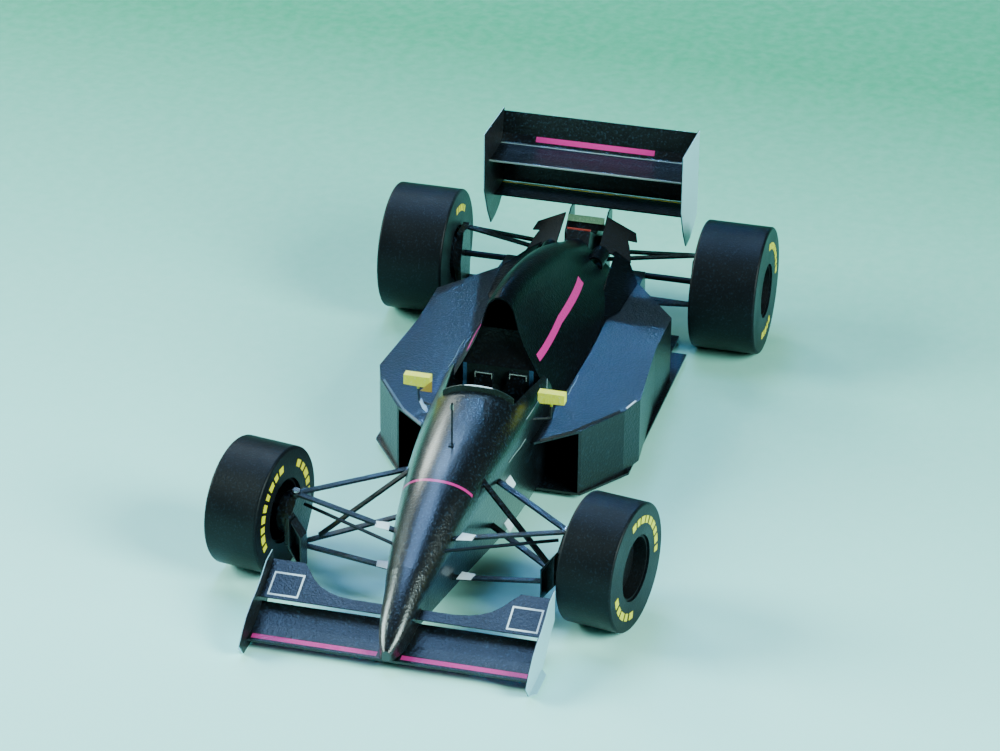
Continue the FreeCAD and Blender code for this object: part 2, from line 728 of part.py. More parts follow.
def make_front_suspension(outside):
    """Make the left wishbones, push rod and track rod, and mirror them."""
    pin_x = front_x("kingpin_lead")
    pin_y = size("kingpin_y")
    front_y = FRONT_MOUNT_SHARE * size("hull_half_width")
    back_y = BACK_MOUNT_SHARE * size("hull_half_width")
    hole = doc.addObject("Part::Cylinder", "pin_hole")
    bind(hole, Radius="kingpin_radius + kingpin_clearance", Height="upper_arm_z + overrun")
    hole.Placement = Placement(Vector(pin_x, pin_y, 0), Rotation())
    wholes = {}
    for name in ("upper_arm", "lower_arm"):
        wholes[name] = make_arm("front_" + name, Vector(pin_x, pin_y, size(name + "_z")), [
            Vector(front_x(name + "_front_lead"), front_y, size(name + "_front_z")),
            Vector(front_x(name + "_back_lead"), back_y, size(name + "_back_z"))])
        left = cut("front_%s_left" % name, wholes[name], outside, hole)
        mirrored(left, "front_%s_right" % name)
    push = strip(
        "push_rod",
        Vector(front_x("push_rod_lead"), back_y, size("push_rod_z")),
        Vector(pin_x - 2 * size("strip_width"), pin_y - 3 * size("strip_width"),
               size("lower_arm_z") + 2 * size("strip_thickness")),
        "push_rod_width", "strip_thickness")
    mirrored(cut("push_rod_left", push, outside, wholes["lower_arm"]), "push_rod_right")
    track = rod(
        "track_rod",
        Vector(front_x("track_rod_lead"), front_y, size("track_rod_z")),
        Vector(pin_x + size("strip_thickness"), pin_y - size("track_rod_gap"),
               size("upper_arm_z") - size("track_rod_drop")),
        "track_rod_radius")
    mirrored(cut("track_rod_left", track, outside), "track_rod_right")


def make_front_wing(nose):
    """Make the front plane, its two curved flaps and the endplates with their feet."""
    line = spread(FRONT_PLANE_SHARES, FRONT_WING, "front_wing_chord", "front_wing_z", "front_wing_rise")
    plane = panel("wing_plane", "XZ_Plane", folded(line, "0", "board"), "2 * front_wing_half", "-front_wing_half")
    cut("front_wing_plane", plane, nose)
    flap = panel("flap_plane", "XY_Plane", spread(
        FRONT_FLAP_SHARES, "0", "front_flap_chord", "0", "front_wing_half"), "card")
    tip = front_x("hull_lead") + size("nose_length")
    flap.Placement = Placement(
        Vector(tip - size("front_wing_setback") - size("front_flap_setback"), 0, size("front_flap_z")),
        Rotation(Vector(0, 1, 0), size("front_flap_angle")))
    mirrored(cut("front_wing_flap_left", flap, nose), "front_wing_flap_right")
    front = FRONT_WING + " + endplate_lead"
    plate = panel("endplate_sheet", "XZ_Plane", spread(
        FRONT_ENDPLATE_SHARES, front, ENDPLATE_LENGTH, "endplate_low_z", "(endplate_top_z - endplate_low_z)",
    ), "card", "-front_wing_half - card")
    foot = panel("endplate_foot", "XY_Plane", spread(
        FOOT_SHARES, front, ENDPLATE_LENGTH, "front_wing_half + card", "foot_width"), "card", "endplate_low_z")
    mirrored(fuse("front_wing_endplate_left", plate, foot), "front_wing_endplate_right")


def make_rear_wing():
    """Make the two planes, their steep flaps, the endplates and the pylons."""
    back = "(%s - rear_wing_setback - rear_wing_chord)" % REAR_AXLE
    plate = panel("rear_wing_endplate_left", "XZ_Plane", spread(
        REAR_ENDPLATE_SHARES, back, "rear_wing_chord", "(rear_wing_top_z - endplate_drop)", "endplate_drop",
    ), "card", "-rear_wing_half - card")
    mirrored(plate, "rear_wing_endplate_right")
    lines = {
        "rear_wing_plane": (spread(
            MAIN_PLANE_SHARES, back + " + card", "(main_plane_chord - card)", "main_plane_z", "card"), "0", "card"),
        "rear_wing_flap": (spread(
            FLAP_SHARES, back, "card", "main_plane_z", "flap_height"), "-card", "0"),
        "rear_beam_plane": ([
            (back + " + beam_plane_chord", "beam_plane_z"), (back + " + card", "beam_plane_z - card")], "0", "card"),
        "rear_beam_flap": (spread(
            BEAM_FLAP_SHARES, back, "card", "beam_plane_z", "beam_flap_height"), "-card", "0"),
    }
    for label, (line, across, up) in lines.items():
        panel(label, "XZ_Plane", folded(line, across, up), "2 * rear_wing_half", "-rear_wing_half")
    pylon = panel("rear_wing_pylon_left", "XZ_Plane", [
        (GEARBOX_BACK + " + beam_plane_chord", "gearbox_top_z"),
        (GEARBOX_BACK + " + %s * beam_plane_chord" % PYLON_FOOT_SHARE, "beam_plane_z - card"),
        (GEARBOX_BACK, "beam_plane_z - card"),
        (GEARBOX_BACK, "pod_top_z - gearbox_half_width"),
        (GEARBOX_BACK + " + beam_plane_chord", "pod_top_z - gearbox_half_width"),
    ], "card", "-gearbox_half_width - card")
    mirrored(pylon, "rear_wing_pylon_right")
    return pylon


def make_tail():
    """Make the gearbox case, the tail box with its light and the leaning vanes."""
    gearbox = box_between(
        "gearbox_case",
        (GEARBOX_BACK, "-gearbox_half_width", "floor_z + board"),
        (REAR_AXLE + " + gearbox_lead", "gearbox_half_width", "pod_top_z"))
    panel("light_box", "XZ_Plane", [
        (COVER_BACK, "pod_top_z"),
        (COVER_BACK, "gearbox_top_z"),
        (LIGHT_FRONT, "gearbox_top_z + light_height - card"),
        (LIGHT_FRONT + " - 2 * light_half_width", "gearbox_top_z"),
        (GEARBOX_BACK, "gearbox_top_z"),
        (GEARBOX_BACK, "pod_top_z"),
    ], "2 * light_half_width", "-light_half_width")
    box_between(
        "rear_light",
        (LIGHT_FRONT + " - card", "-light_half_width", "gearbox_top_z + light_height - card"),
        (LIGHT_FRONT, "light_half_width", "gearbox_top_z + light_height"))
    vane = panel("tail_vane_left", "XY_Plane", spread(
        VANE_SHARES, "0", "vane_length", "0", "vane_half_width"), "card")
    rise = size("vane_half_width") * math.sin(math.radians(size("vane_roll")))
    vane.Placement = Placement(
        Vector(rear_x("pod_lead"), 0, size("pod_top_z") + rise),
        Rotation(Vector(0, 1, 0), size("vane_pitch")).multiply(Rotation(Vector(1, 0, 0), -size("vane_roll"))))
    mirrored(vane, "tail_vane_right")
    return gearbox


def make_rear_corner(gearbox, pylon):
    """Make the left rear upright with its stub axle and drum, both arms and the drive shaft."""
    axle = size("front_axle_x") - size("wheelbase")
    upright_y = size("rear_upright_y")
    radius = size("rear_tyre_radius")
    outer_face = upright_y + size("upright_depth") / 2
    plate = panel("rear_plate", "XZ_Plane", spread(
        REAR_UPRIGHT_SHARES, REAR_AXLE, "rear_upright_width",
        "rear_lower_arm_z - strip_thickness", "(rear_upper_arm_z - rear_lower_arm_z + 2 * strip_thickness)",
    ), "upright_depth", "-rear_upright_y - upright_depth / 2")
    tip = size("rear_wheel_y") + size("rear_tyre_width") / 2 - size("rim_recess") + size("axle_tip")
    stub = rod("rear_stub", Vector(axle, upright_y, radius), Vector(axle, tip, radius), "axle_radius")
    drum = rod("rear_drum", Vector(axle, outer_face, radius),
               Vector(axle, outer_face + size("drum_depth"), radius), "axle_radius")
    bind(drum, Radius="rear_bore_radius - rear_drum_inset")
    mirrored(fuse("rear_upright_left", plate, stub, drum), "rear_upright_right")
    inner_y = REAR_MOUNT_SHARE * size("gearbox_half_width")
    inner_z = {
        "rear_upper_arm": size("pod_top_z") - size("strip_thickness"),
        "rear_lower_arm": size("rear_lower_arm_z") - size("strip_width")}
    for name, height in inner_z.items():
        outer = Vector(axle - size("rear_arm_offset"), upright_y, size(name + "_z"))
        legs = [
            strip(name + "_leg%d" % n, Vector(axle + reach, inner_y, height), outer,
                  "strip_width", "strip_thickness")
            for n, reach in enumerate((size("rear_arm_front"), size("rear_arm_back")))]
        whole = fuse(name + "_whole", *legs)
        mirrored(cut(name + "_left", whole, gearbox, pylon, plate), name + "_right")
    shaft = rod("drive_shaft", Vector(axle, size("gearbox_half_width"), radius),
                Vector(axle, upright_y - size("upright_depth") / 2, radius), "drive_shaft_radius")
    shaft.Label = "drive_shaft_left"
    mirrored(shaft, "drive_shaft_right")


def make_mirrors(outside):
    """Make one mirror pod on its bent wire stalk."""
    housing = panel("mirror_housing", "YZ_Plane", spread(
        MIRROR_SHARES, "mirror_y", "mirror_width", "mirror_z", "mirror_height",
    ), "mirror_depth", "mirror_x - mirror_depth / 2")
    middle = Vector(size("mirror_x"), size("mirror_y"), size("mirror_z"))
    elbow = middle - Vector(0, size("stalk_radius"), 2 * size("mirror_height"))
    root = Vector(middle.x + size("mirror_depth"), size("cockpit_back_half"), elbow.z)
    whole = fuse(
        "mirror_whole", housing, rod("mirror_stem", elbow, middle, "stalk_radius"),
        rod("mirror_root", root, elbow, "stalk_radius"))
    mirrored(cut("mirror_left", whole, outside), "mirror_right")


def make_antenna(outside):
    """Stand the antenna on the hull in front of the cockpit."""
    foot = Vector(front_x("antenna_lead"), 0, size("hull_height") * ANTENNA_FOOT_SHARE)
    mast = rod("antenna_rod", foot, foot + Vector(0, 0, size("antenna_height")), "antenna_radius")
    cut("antenna", mast, outside)


def node_names():
    """List the pieces that are handed over."""
    names = [
        "monocoque", "nose_cone", "engine_cover", "floor", "front_wing_plane", "rear_wing_plane",
        "rear_wing_flap", "rear_beam_plane", "rear_beam_flap", "gearbox_case", "light_box", "rear_light",
        "antenna", "cockpit_screen", "driver_seat", "headrest"]
    paired = [
        "sidepod", "front_upright", "kingpin", "front_upper_arm", "front_lower_arm", "push_rod",
        "track_rod", "front_wing_flap", "front_wing_endplate", "rear_wing_endplate", "rear_wing_pylon",
        "mirror", "tail_vane", "rear_upright", "rear_upper_arm", "rear_lower_arm", "drive_shaft",
        "tyre_front", "tyre_rear", "rim_front", "rim_rear"]
    return names + ["%s_%s" % (name, side) for name in paired for side, sign in SIDES]


def finish():
    """Check every object, then write each named piece to its file."""
    doc.recompute()
    names = node_names()
    pieces = {item.Label: item for item in doc.Objects if item.Label in names}
    for item in doc.Objects:
        if "Invalid" in item.State or "Error" in item.State:
            raise RuntimeError("failed object: " + item.Label)
    for label in names:
        shape = pieces[label].Shape
        if shape.isNull() or not shape.isValid():
            raise RuntimeError("bad shape: " + label)
    os.makedirs("parts", exist_ok=True)
    for label in names:
        pieces[label].Shape.exportStep("parts/%s.step" % label)


def build():
    """Build the whole car."""
    fill_sheet()
    outside, hollow, nose = make_hull()
    floor = make_floor()
    make_monocoque(outside, hollow, floor)
    make_screen(outside)
    airbox = make_engine_cover()
    make_headrest(airbox)
    make_seat()
    make_sidepods(outside)
    for side_name, side in SIDES:
        make_wheel("front", side_name, side)
        make_wheel("rear", side_name, side)
        make_front_upright(side_name, side)
    make_front_suspension(outside)
    make_front_wing(nose)
    pylon = make_rear_wing()
    gearbox = make_tail()
    make_rear_corner(gearbox, pylon)
    make_mirrors(outside)
    make_antenna(outside)
    finish()


build()
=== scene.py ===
"""Folded card model of an open wheel racing car: its finishes, card trims, printed marks, light and camera.

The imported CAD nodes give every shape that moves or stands. This script dresses them and adds the small
card pieces and printed marks that the CAD leaves out. Sizes are in millimetres, except for the lights and
the floor, which are in metres.
"""

import logging
import math
from dataclasses import dataclass, field
from enum import Enum
from typing import Callable, Sequence

import bmesh
import bpy
from mathutils import Matrix, Vector


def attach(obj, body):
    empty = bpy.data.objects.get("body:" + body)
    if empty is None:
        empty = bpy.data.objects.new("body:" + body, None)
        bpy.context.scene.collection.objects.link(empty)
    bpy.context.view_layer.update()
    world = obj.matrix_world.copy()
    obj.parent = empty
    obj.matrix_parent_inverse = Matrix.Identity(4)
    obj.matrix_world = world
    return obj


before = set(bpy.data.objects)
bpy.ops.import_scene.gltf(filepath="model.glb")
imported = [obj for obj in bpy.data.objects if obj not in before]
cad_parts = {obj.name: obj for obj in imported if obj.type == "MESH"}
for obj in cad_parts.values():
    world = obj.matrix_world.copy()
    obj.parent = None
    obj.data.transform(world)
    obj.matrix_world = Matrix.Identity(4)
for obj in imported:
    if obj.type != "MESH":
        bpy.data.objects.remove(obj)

MM = 0.001

# Points of a print closer than this, in metres, are one point.
MERGE_LIMIT = 1e-7

# A strip's two faces are those that look this much along its own Z.
FACING = 0.9

# The pressed middle of a strip's face: its border as a share of the width, its depth of the thickness.
PRESSED_BORDER = 0.2
PRESSED_DEPTH = 0.12

# The width of a tab's eased edge, in millimetres.
EASED_EDGE = 0.12

# Where nearly all values of the noise nodes lie.
NOISE_RANGE = (0.3, 0.7)

Point = tuple[float, float, float]
Colour = tuple[float, float, float, float]

log = logging.getLogger("card_car")


class Side(Enum):
    """The two sides of the car, as the sign of Y."""

    LEFT = 1
    RIGHT = -1

    @property
    def word(self) -> str:
        """The side's name as the CAD nodes end with."""
        return self.name.lower()

    @property
    def matrix(self) -> Matrix:
        """The change from the left side to this side."""
        return Matrix.Diagonal((1, self.value, 1, 1))


class End(Enum):
    """The two ends of the car, as the CAD nodes start with."""

    FRONT = "front"
    REAR = "rear"


class Slot(Enum):
    """The record's material slots, listed with the added pieces."""

    BLACK = "black_card"
    WHITE = "white_card"
    YELLOW = "yellow_card"


class Ink(Enum):
    """The printed colours, as sRGB hex; the slate and sheen blues paint highlights and glints, and the ochre
    also paints shade on the mirror's folded corner.
    """

    BLACK = "#07090C"
    TREAD = "#0A0D11"
    # Slate blue: painted highlights and glints on the seat's bolsters, on the right pod's fold and in the
    # rims' flecks.
    SLATE = "#2F4C68"
    # Sheen blue: the painted glints in the flecks of the black card.
    SHEEN = "#3F5A70"
    PAPER = "#DCE8F0"
    CREAM = "#B9C9B4"
    EDGE = "#7F938E"
    PLATE = "#98C8D6"
    SEAT = "#141F1E"
    SCREEN = "#222F2B"
    PINK = "#C9287E"
    YELLOW = "#E6D600"
    MIRROR = "#F2E638"
    OCHRE = "#C79B33"
    RED = "#96302A"
    OLIVE = "#56785C"
    LILAC = "#8FA9D0"


class Finish(Enum):
    """The finishes, by the names of their materials."""

    BLACK = "black_card"
    POD = "pod_card"
    TYRE = "tyre_card"
    RIM = "rim_card"
    MIRROR = "yellow_card"
    RED = "red_card"
    WHITE = "white_card"
    YELLOW_INK = "yellow_ink"
    EDGE = "edge_card"
    OLIVE = "olive_card"
    OCHRE = "mirror_shade_card"
    SLATE = "slate_card"
    LILAC = "lilac_card"
    PIN = "steel_pin"
    WIRE = "black_wire"
    HULL = "hull_card"
    COVER = "cover_card"
    HEADREST = "headrest_card"
    REAR_FLAP = "rear_flap_card"
    REAR_PLANE = "rear_plane_card"
    BEAM = "beam_card"
    FRONT_PLANE = "front_plane_card"
    FRONT_FLAP = "front_flap_card"
    SEAT = "seat_card"
    SCREEN = "screen_card"
    FRONT_ENDPLATE_LEFT = "front_endplate_left"
    FRONT_ENDPLATE_RIGHT = "front_endplate_right"
    REAR_ENDPLATE_LEFT = "rear_endplate_left"
    REAR_ENDPLATE_RIGHT = "rear_endplate_right"


def linear(colour: str) -> Colour:
    """Turns an sRGB hex colour to linear light, by the sRGB curve.

    Args:
        colour: The colour as #RRGGBB.

    Returns:
        The linear red, green and blue, with full alpha.
    """
    parts = [int(colour[i : i + 2], 16) / 255 for i in (1, 3, 5)]
    bent = [p / 12.92 if p <= 0.04045 else ((p + 0.055) / 1.055) ** 2.4 for p in parts]
    return (bent[0], bent[1], bent[2], 1.0)


def node(tree: bpy.types.NodeTree, kind: str, links: dict | None = None, **settings) -> bpy.types.Node:
    """Adds one shader node with its settings and links.

    Args:
        tree: The material's node tree.
        kind: The node's class name without the ShaderNode start.
        links: Socket name or index of the new node, against an output socket or a plain value.
        settings: Attributes of the node, set before its sockets.

    Returns:
        The new node.
    """
    made = tree.nodes.new("ShaderNode" + kind)
    for name, value in settings.items():
        setattr(made, name, value)
    for name, value in (links or {}).items():
        if isinstance(value, bpy.types.NodeSocket):
            tree.links.new(value, made.inputs[name])
        else:
            made.inputs[name].default_value = value
    return made


def mixed(
    tree: bpy.types.NodeTree,
    share: bpy.types.NodeSocket,
    low: bpy.types.NodeSocket | Colour,
    high: bpy.types.NodeSocket | Colour,
) -> bpy.types.NodeSocket:
    """Mixes two colours.

    Args:
        tree: The material's node tree.
        share: The share of the second colour.
        low: The first colour.
        high: The second colour.

    Returns:
        The mixed colour's socket.
    """
    return node(tree, "Mix", {0: share, 6: low, 7: high}, data_type="RGBA").outputs[2]


def ranged(
    tree: bpy.types.NodeTree, value: bpy.types.NodeSocket, source: Sequence[float], target: Sequence[float]
) -> bpy.types.NodeSocket:
    """Maps one range of values to another.

    Args:
        tree: The material's node tree.
        value: The value.
        source: Where its range starts and ends.
        target: What these become.

    Returns:
        The mapped value's socket.
    """
    sockets = {"Value": value, "From Min": source[0], "From Max": source[1]}
    return node(tree, "MapRange", sockets | {"To Min": target[0], "To Max": target[1]}).outputs[0]


def noise(
    tree: bpy.types.NodeTree, place: bpy.types.NodeSocket, size: float, detail: float, **sockets: float
) -> bpy.types.NodeSocket:
    """Lays noise of one real size over the surface.

    Args:
        tree: The material's node tree.
        place: The object coordinates.
        size: The size of its grains in millimetres.
        detail: How many finer layers it has.
        sockets: Other sockets of the noise by name.

    Returns:
        The noise's value.
    """
    links = {"Vector": place, "Scale": 1.0 / (size * MM), "Detail": detail} | sockets
    return node(tree, "TexNoise", links).outputs[0]


def started(name: str) -> tuple[bpy.types.Material, bpy.types.NodeTree, bpy.types.NodeSocket]:
    """Starts an empty node material.

    Args:
        name: The material's name.

    Returns:
        The material, its node tree and the socket of the object coordinates.
    """
    material = bpy.data.materials.new(name)
    material.use_nodes = True
    tree = material.node_tree
    tree.nodes.clear()
    return material, tree, node(tree, "TexCoord").outputs["Object"]


def shaded(tree: bpy.types.NodeTree, sockets: dict) -> None:
    """Ends a material with its shader.

    Args:
        tree: The material's node tree.
        sockets: The shader's sockets by name.
    """
    shader = node(tree, "BsdfPrincipled", sockets)
    node(tree, "OutputMaterial", {"Surface": shader.outputs[0]})


@dataclass(frozen=True)
class Mark:
    """A printed mark: all of the surface inside a turned box takes the ink."""

    ink: Ink
    centre: Point
    half: Point
    turn: Point = (0.0, 0.0, 0.0)

    def mask(self, tree: bpy.types.NodeTree, place: bpy.types.NodeSocket) -> bpy.types.NodeSocket:
        """Builds the mask that is 1 inside the box.

        Args:
            tree: The material's node tree.
            place: The object coordinates.

        Returns:
            The mask's socket.
        """
        sockets = {
            "Vector": place,
            "Location": [c * MM for c in self.centre],
            "Rotation": [math.radians(a) for a in self.turn],
            "Scale": [h * MM for h in self.half],
        }
        boxed = node(tree, "Mapping", sockets, vector_type="TEXTURE")
        off = node(tree, "VectorMath", {0: boxed.outputs[0]}, operation="ABSOLUTE")
        axes = node(tree, "SeparateXYZ", {0: off.outputs[0]})
        wide = node(tree, "Math", {0: axes.outputs[0], 1: axes.outputs[1]}, operation="MAXIMUM")
        most = node(tree, "Math", {0: wide.outputs[0], 1: axes.outputs[2]}, operation="MAXIMUM")
        return node(tree, "Math", {0: most.outputs[0], 1: 1.0}, operation="LESS_THAN").outputs[0]


@dataclass(frozen=True)
class PrintedCard:
    """Thin paper card printed with toner: matt fibre below, and raised flecks that catch the light, with
    their glint on black card also painted into the colour.

    Toner is fused plastic on fibre, so black areas mirror a bright floor at a low angle and break
    that mirror up into grains. The real grain is finer than the picture can show, so it is drawn at
    about half a millimetre. Slow clouds of 9 mm vary the gloss, as uneven fusing does. Grain, cloud
    and relief are sizes in millimetres.
    """

    finish: Finish
    base: Ink
    fleck: Ink = Ink.SHEEN
    fleck_strength: float = 0.3
    fleck_range: tuple[float, float] = (0.55, 0.72)
    grain: float = 0.55
    grain_detail: float = 2.0
    grain_roughness: float = 0.6
    cloud: float = 9.0
    cloud_detail: float = 3.0
    roughness: float = 0.31
    spread: float = 0.05
    relief: float = 0.14
    relief_strength: float = 0.9
    coat: float = 0.0
    coat_roughness: float = 0.22
    specular: float = 0.5
    marks: tuple[Mark, ...] = ()

    def build(self) -> bpy.types.Material:
        """Builds the material.

        Returns:
            The node material.
        """
        material, tree, place = started(self.finish.value)
        grain = noise(tree, place, self.grain, self.grain_detail, Roughness=self.grain_roughness)
        # On the black card the flecks are painted glints, a blue sheen in the base colour; on coloured card
        # they are pale fibres.
        flecks = ranged(tree, grain, self.fleck_range, (0.0, self.fleck_strength))
        colour = mixed(tree, flecks, linear(self.base.value), linear(self.fleck.value))
        for mark in self.marks:
            colour = mixed(tree, mark.mask(tree, place), colour, linear(mark.ink.value))
        gloss: bpy.types.NodeSocket | float = self.roughness
        if self.spread:
            clouds = noise(tree, place, self.cloud, self.cloud_detail)
            ends = (self.roughness - self.spread / 2, self.roughness + self.spread / 2)
            gloss = ranged(tree, clouds, NOISE_RANGE, ends)
        sockets = {"Height": grain, "Distance": self.relief * MM, "Strength": self.relief_strength}
        sockets = {
            "Base Color": colour,
            "Roughness": gloss,
            "Normal": node(tree, "Bump", sockets).outputs[0],
            "Specular IOR Level": self.specular,
            "Coat Weight": self.coat,
            "Coat Roughness": self.coat_roughness,
        }
        shaded(tree, sockets)
        return material


@dataclass(frozen=True)
class DrawnWire:
    """Plated pin steel or blackened wire: drawn metal whose fine scratches break the highlight."""

    finish: Finish
    tint: str = "#C9CDD2"
    roughness: float = 0.28
    smoother: float = 0.08
    rougher: float = 0.12
    scratch: float = 0.3
    scratch_detail: float = 4.0

    def build(self) -> bpy.types.Material:
        """Builds the material.

        Returns:
            The node material.
        """
        material, tree, place = started(self.finish.value)
        scratches = noise(tree, place, self.scratch, self.scratch_detail)
        ends = (self.roughness - self.smoother, self.roughness + self.rougher)
        gloss = ranged(tree, scratches, NOISE_RANGE, ends)
        shaded(tree, {"Base Color": linear(self.tint), "Metallic": 1.0, "Roughness": gloss})
        return material


@dataclass(frozen=True)
class BackingPaper:
    """Matt coloured paper, graduated from a deep green far behind the car to near white at its nose: the
    gradient is painted light, a pool of light near the car and painted shade far behind.
    """

    name: str = "backing_paper_painted_light"
    shade: str = "#02261C"
    far: str = "#0C9A70"
    near: str = "#BAFFF4"
    fibre_tint: str = "#E9FFFB"
    shade_range: tuple[float, float] = (-1.6, -0.9)
    near_range: tuple[float, float] = (-0.22, 0.08)
    fibre: float = 3.0
    fibre_detail: float = 3.0
    fibre_strength: float = 0.06
    roughness: float = 0.85

    def build(self) -> bpy.types.Material:
        """Builds the material.

        Returns:
            The node material.
        """
        material, tree, place = started(self.name)
        fibres = noise(tree, place, self.fibre, self.fibre_detail)
        along = node(tree, "SeparateXYZ", {0: place}).outputs[0]
        nearness = ranged(tree, along, self.near_range, (0.0, 1.0))
        depth = ranged(tree, along, self.shade_range, (0.0, 1.0))
        # Painted shade: the far green darkens to the shade colour on the sweep's rising back.
        back = mixed(tree, depth, linear(self.shade), linear(self.far))
        # Painted light: the paper turns near white towards the car's nose, where the light falls strongest.
        wash = mixed(tree, nearness, back, linear(self.near))
        strength = ranged(tree, fibres, NOISE_RANGE, (0.0, self.fibre_strength))
        tint = mixed(tree, strength, wash, linear(self.fibre_tint))
        shaded(tree, {"Base Color": tint, "Roughness": self.roughness})
        return material


def settle() -> None:
    """Leaves edit mode and deselects everything, so that an operator acts on the new piece alone."""
    if bpy.context.mode != "OBJECT":
        bpy.ops.object.mode_set(mode="OBJECT")
    bpy.ops.object.select_all(action="DESELECT")


def pick_faces(chosen: Callable[[bmesh.types.BMFace], bool]) -> None:
    """Selects the faces of the piece in edit mode that pass the test.

    Args:
        chosen: The test of one face.
    """
    bpy.ops.mesh.select_mode(type="FACE")
    bpy.ops.mesh.select_all(action="DESELECT")
    shape = bmesh.from_edit_mesh(bpy.context.edit_object.data)
    for face in shape.faces:
        face.select_set(chosen(face))
    bmesh.update_edit_mesh(bpy.context.edit_object.data)


def pick_edges(chosen: Callable[[bmesh.types.BMEdge], bool]) -> None:
    """Selects the edges of the piece in edit mode that pass the test.

    Args:
        chosen: The test of one edge.
    """
    bpy.ops.mesh.select_mode(type="EDGE")
    bpy.ops.mesh.select_all(action="DESELECT")
    shape = bmesh.from_edit_mesh(bpy.context.edit_object.data)
    for edge in shape.edges:
        edge.select_set(chosen(edge))
    bmesh.update_edit_mesh(bpy.context.edit_object.data)


def named(piece: bpy.types.Object, name: str) -> bpy.types.Object:
    """Names a piece and its mesh.

    Args:
        piece: The piece.
        name: The name.

    Returns:
        The piece.
    """
    piece.name = name
    piece.data.name = name
    return piece


def seated(name: str) -> bpy.types.Object:
    """Names the active object and moves its place into its mesh.

    Args:
        name: The piece's name.

    Returns:
        The piece.
    """
    if bpy.context.mode != "OBJECT":
        bpy.ops.object.mode_set(mode="OBJECT")
    piece = named(bpy.context.active_object, name)
    bpy.ops.object.transform_apply(location=True, rotation=True, scale=True)
    return piece


def thickened(piece: bpy.types.Object, thick: float) -> bpy.types.Object:
    """Gives a sheet its thickness, half to each side.

    Args:
        piece: The sheet.
        thick: The thickness in millimetres.

    Returns:
        The piece.
    """
    settle()
    piece.select_set(True)
    bpy.context.view_layer.objects.active = piece
    wall = piece.modifiers.new("thickness", "SOLIDIFY")
    wall.thickness = thick * MM
    wall.offset = 0.0
    bpy.ops.object.modifier_apply(modifier=wall.name)
    return piece


def joined(pieces: Sequence[bpy.types.Object], name: str) -> bpy.types.Object:
    """Joins pieces to one.

    Args:
        pieces: The pieces.
        name: The new name.

    Returns:
        The joined piece.
    """
    settle()
    for piece in pieces:
        piece.select_set(True)
    bpy.context.view_layer.objects.active = pieces[0]
    if len(pieces) > 1:
        bpy.ops.object.join()
    return seated(name)


def copied(piece: bpy.types.Object, name: str, change: Matrix) -> bpy.types.Object:
    """Copies a bare piece with its own mesh, moved by a matrix.

    Args:
        piece: The piece to copy, not yet dressed.
        name: The copy's name.
        change: The move, turn or mirror, in metres.

    Returns:
        The copy.
    """
    twin = piece.copy()
    twin.data = piece.data.copy()
    named(twin, name)
    bpy.context.scene.collection.objects.link(twin)
    twin.data.transform(change)
    if change.determinant() < 0:
        twin.data.flip_normals()
    return twin


def dropped(piece: bpy.types.Object) -> None:
    """Removes a pattern piece after its copies are made."""
    bpy.data.objects.remove(piece)


def strip(name: str, start: Point, end: Point, width: float, thick: float, face: Point) -> bpy.types.Object:
    """Models a narrow card strip from one point to another, its face pressed in along the middle.

    Args:
        name: The piece's name.
        start: The middle of one end in millimetres.
        end: The middle of the other end in millimetres.
        width: The strip's width in millimetres.
        thick: The strip's thickness in millimetres.
        face: The direction that the strip's face looks to.

    Returns:
        The bare piece.
    """
    first, last = Vector(start), Vector(end)
    along = (last - first).normalized()
    out = Vector(face)
    out = (out - along * out.dot(along)).normalized()
    across = out.cross(along)
    settle()
    bpy.ops.mesh.primitive_cube_add(size=1.0)
    block = bpy.context.active_object
    length = (last - first).length
    block.scale = (length * MM, width * MM, thick * MM)
    bpy.ops.object.transform_apply(location=False, rotation=False, scale=True)
    bpy.ops.object.mode_set(mode="EDIT")
    pick_faces(lambda part: abs(part.normal.z) > FACING)
    border = min(width, length) * PRESSED_BORDER
    bpy.ops.mesh.inset(thickness=border * MM, depth=-thick * PRESSED_DEPTH * MM)
    bpy.ops.object.mode_set(mode="OBJECT")
    turn = Matrix((along, across, out)).transposed().to_4x4()
    block.matrix_world = Matrix.Translation((first + last) / 2 * MM) @ turn
    return seated(name)


def ribbon(name: str, line: Sequence[Point], width: float, thick: float, face: Point) -> bpy.types.Object:
    """Models a strip that follows a line of points, one joined strip for each run.

    Args:
        name: The piece's name.
        line: The points in millimetres.
        width: The strip's width in millimetres.
        thick: The strip's thickness in millimetres.
        face: The direction that the strip's face looks to.

    Returns:
        The bare piece.
    """
    runs = [strip("run", a, b, width, thick, face) for a, b in zip(line, line[1:])]
    return joined(runs, name)


def tab(name: str, corners: Sequence[Point], thick: float) -> bpy.types.Object:
    """Models a flat card tab from its corners, with its outer edge eased.

    Args:
        name: The piece's name.
        corners: The corners in millimetres, in order.
        thick: The card's thickness in millimetres.

    Returns:
        The bare piece.
    """
    settle()
    bpy.ops.mesh.primitive_circle_add(vertices=len(corners), radius=MM, fill_type="NGON")
    sheet = bpy.context.active_object
    bpy.ops.object.mode_set(mode="EDIT")
    shape = bmesh.from_edit_mesh(sheet.data)
    shape.verts.ensure_lookup_table()
    for vertex, corner in zip(shape.verts, corners):
        vertex.co = Vector(corner) * MM
    bmesh.update_edit_mesh(sheet.data)
    bpy.ops.mesh.select_all(action="SELECT")
    bpy.ops.mesh.inset(thickness=EASED_EDGE * MM)
    return thickened(seated(name), thick)


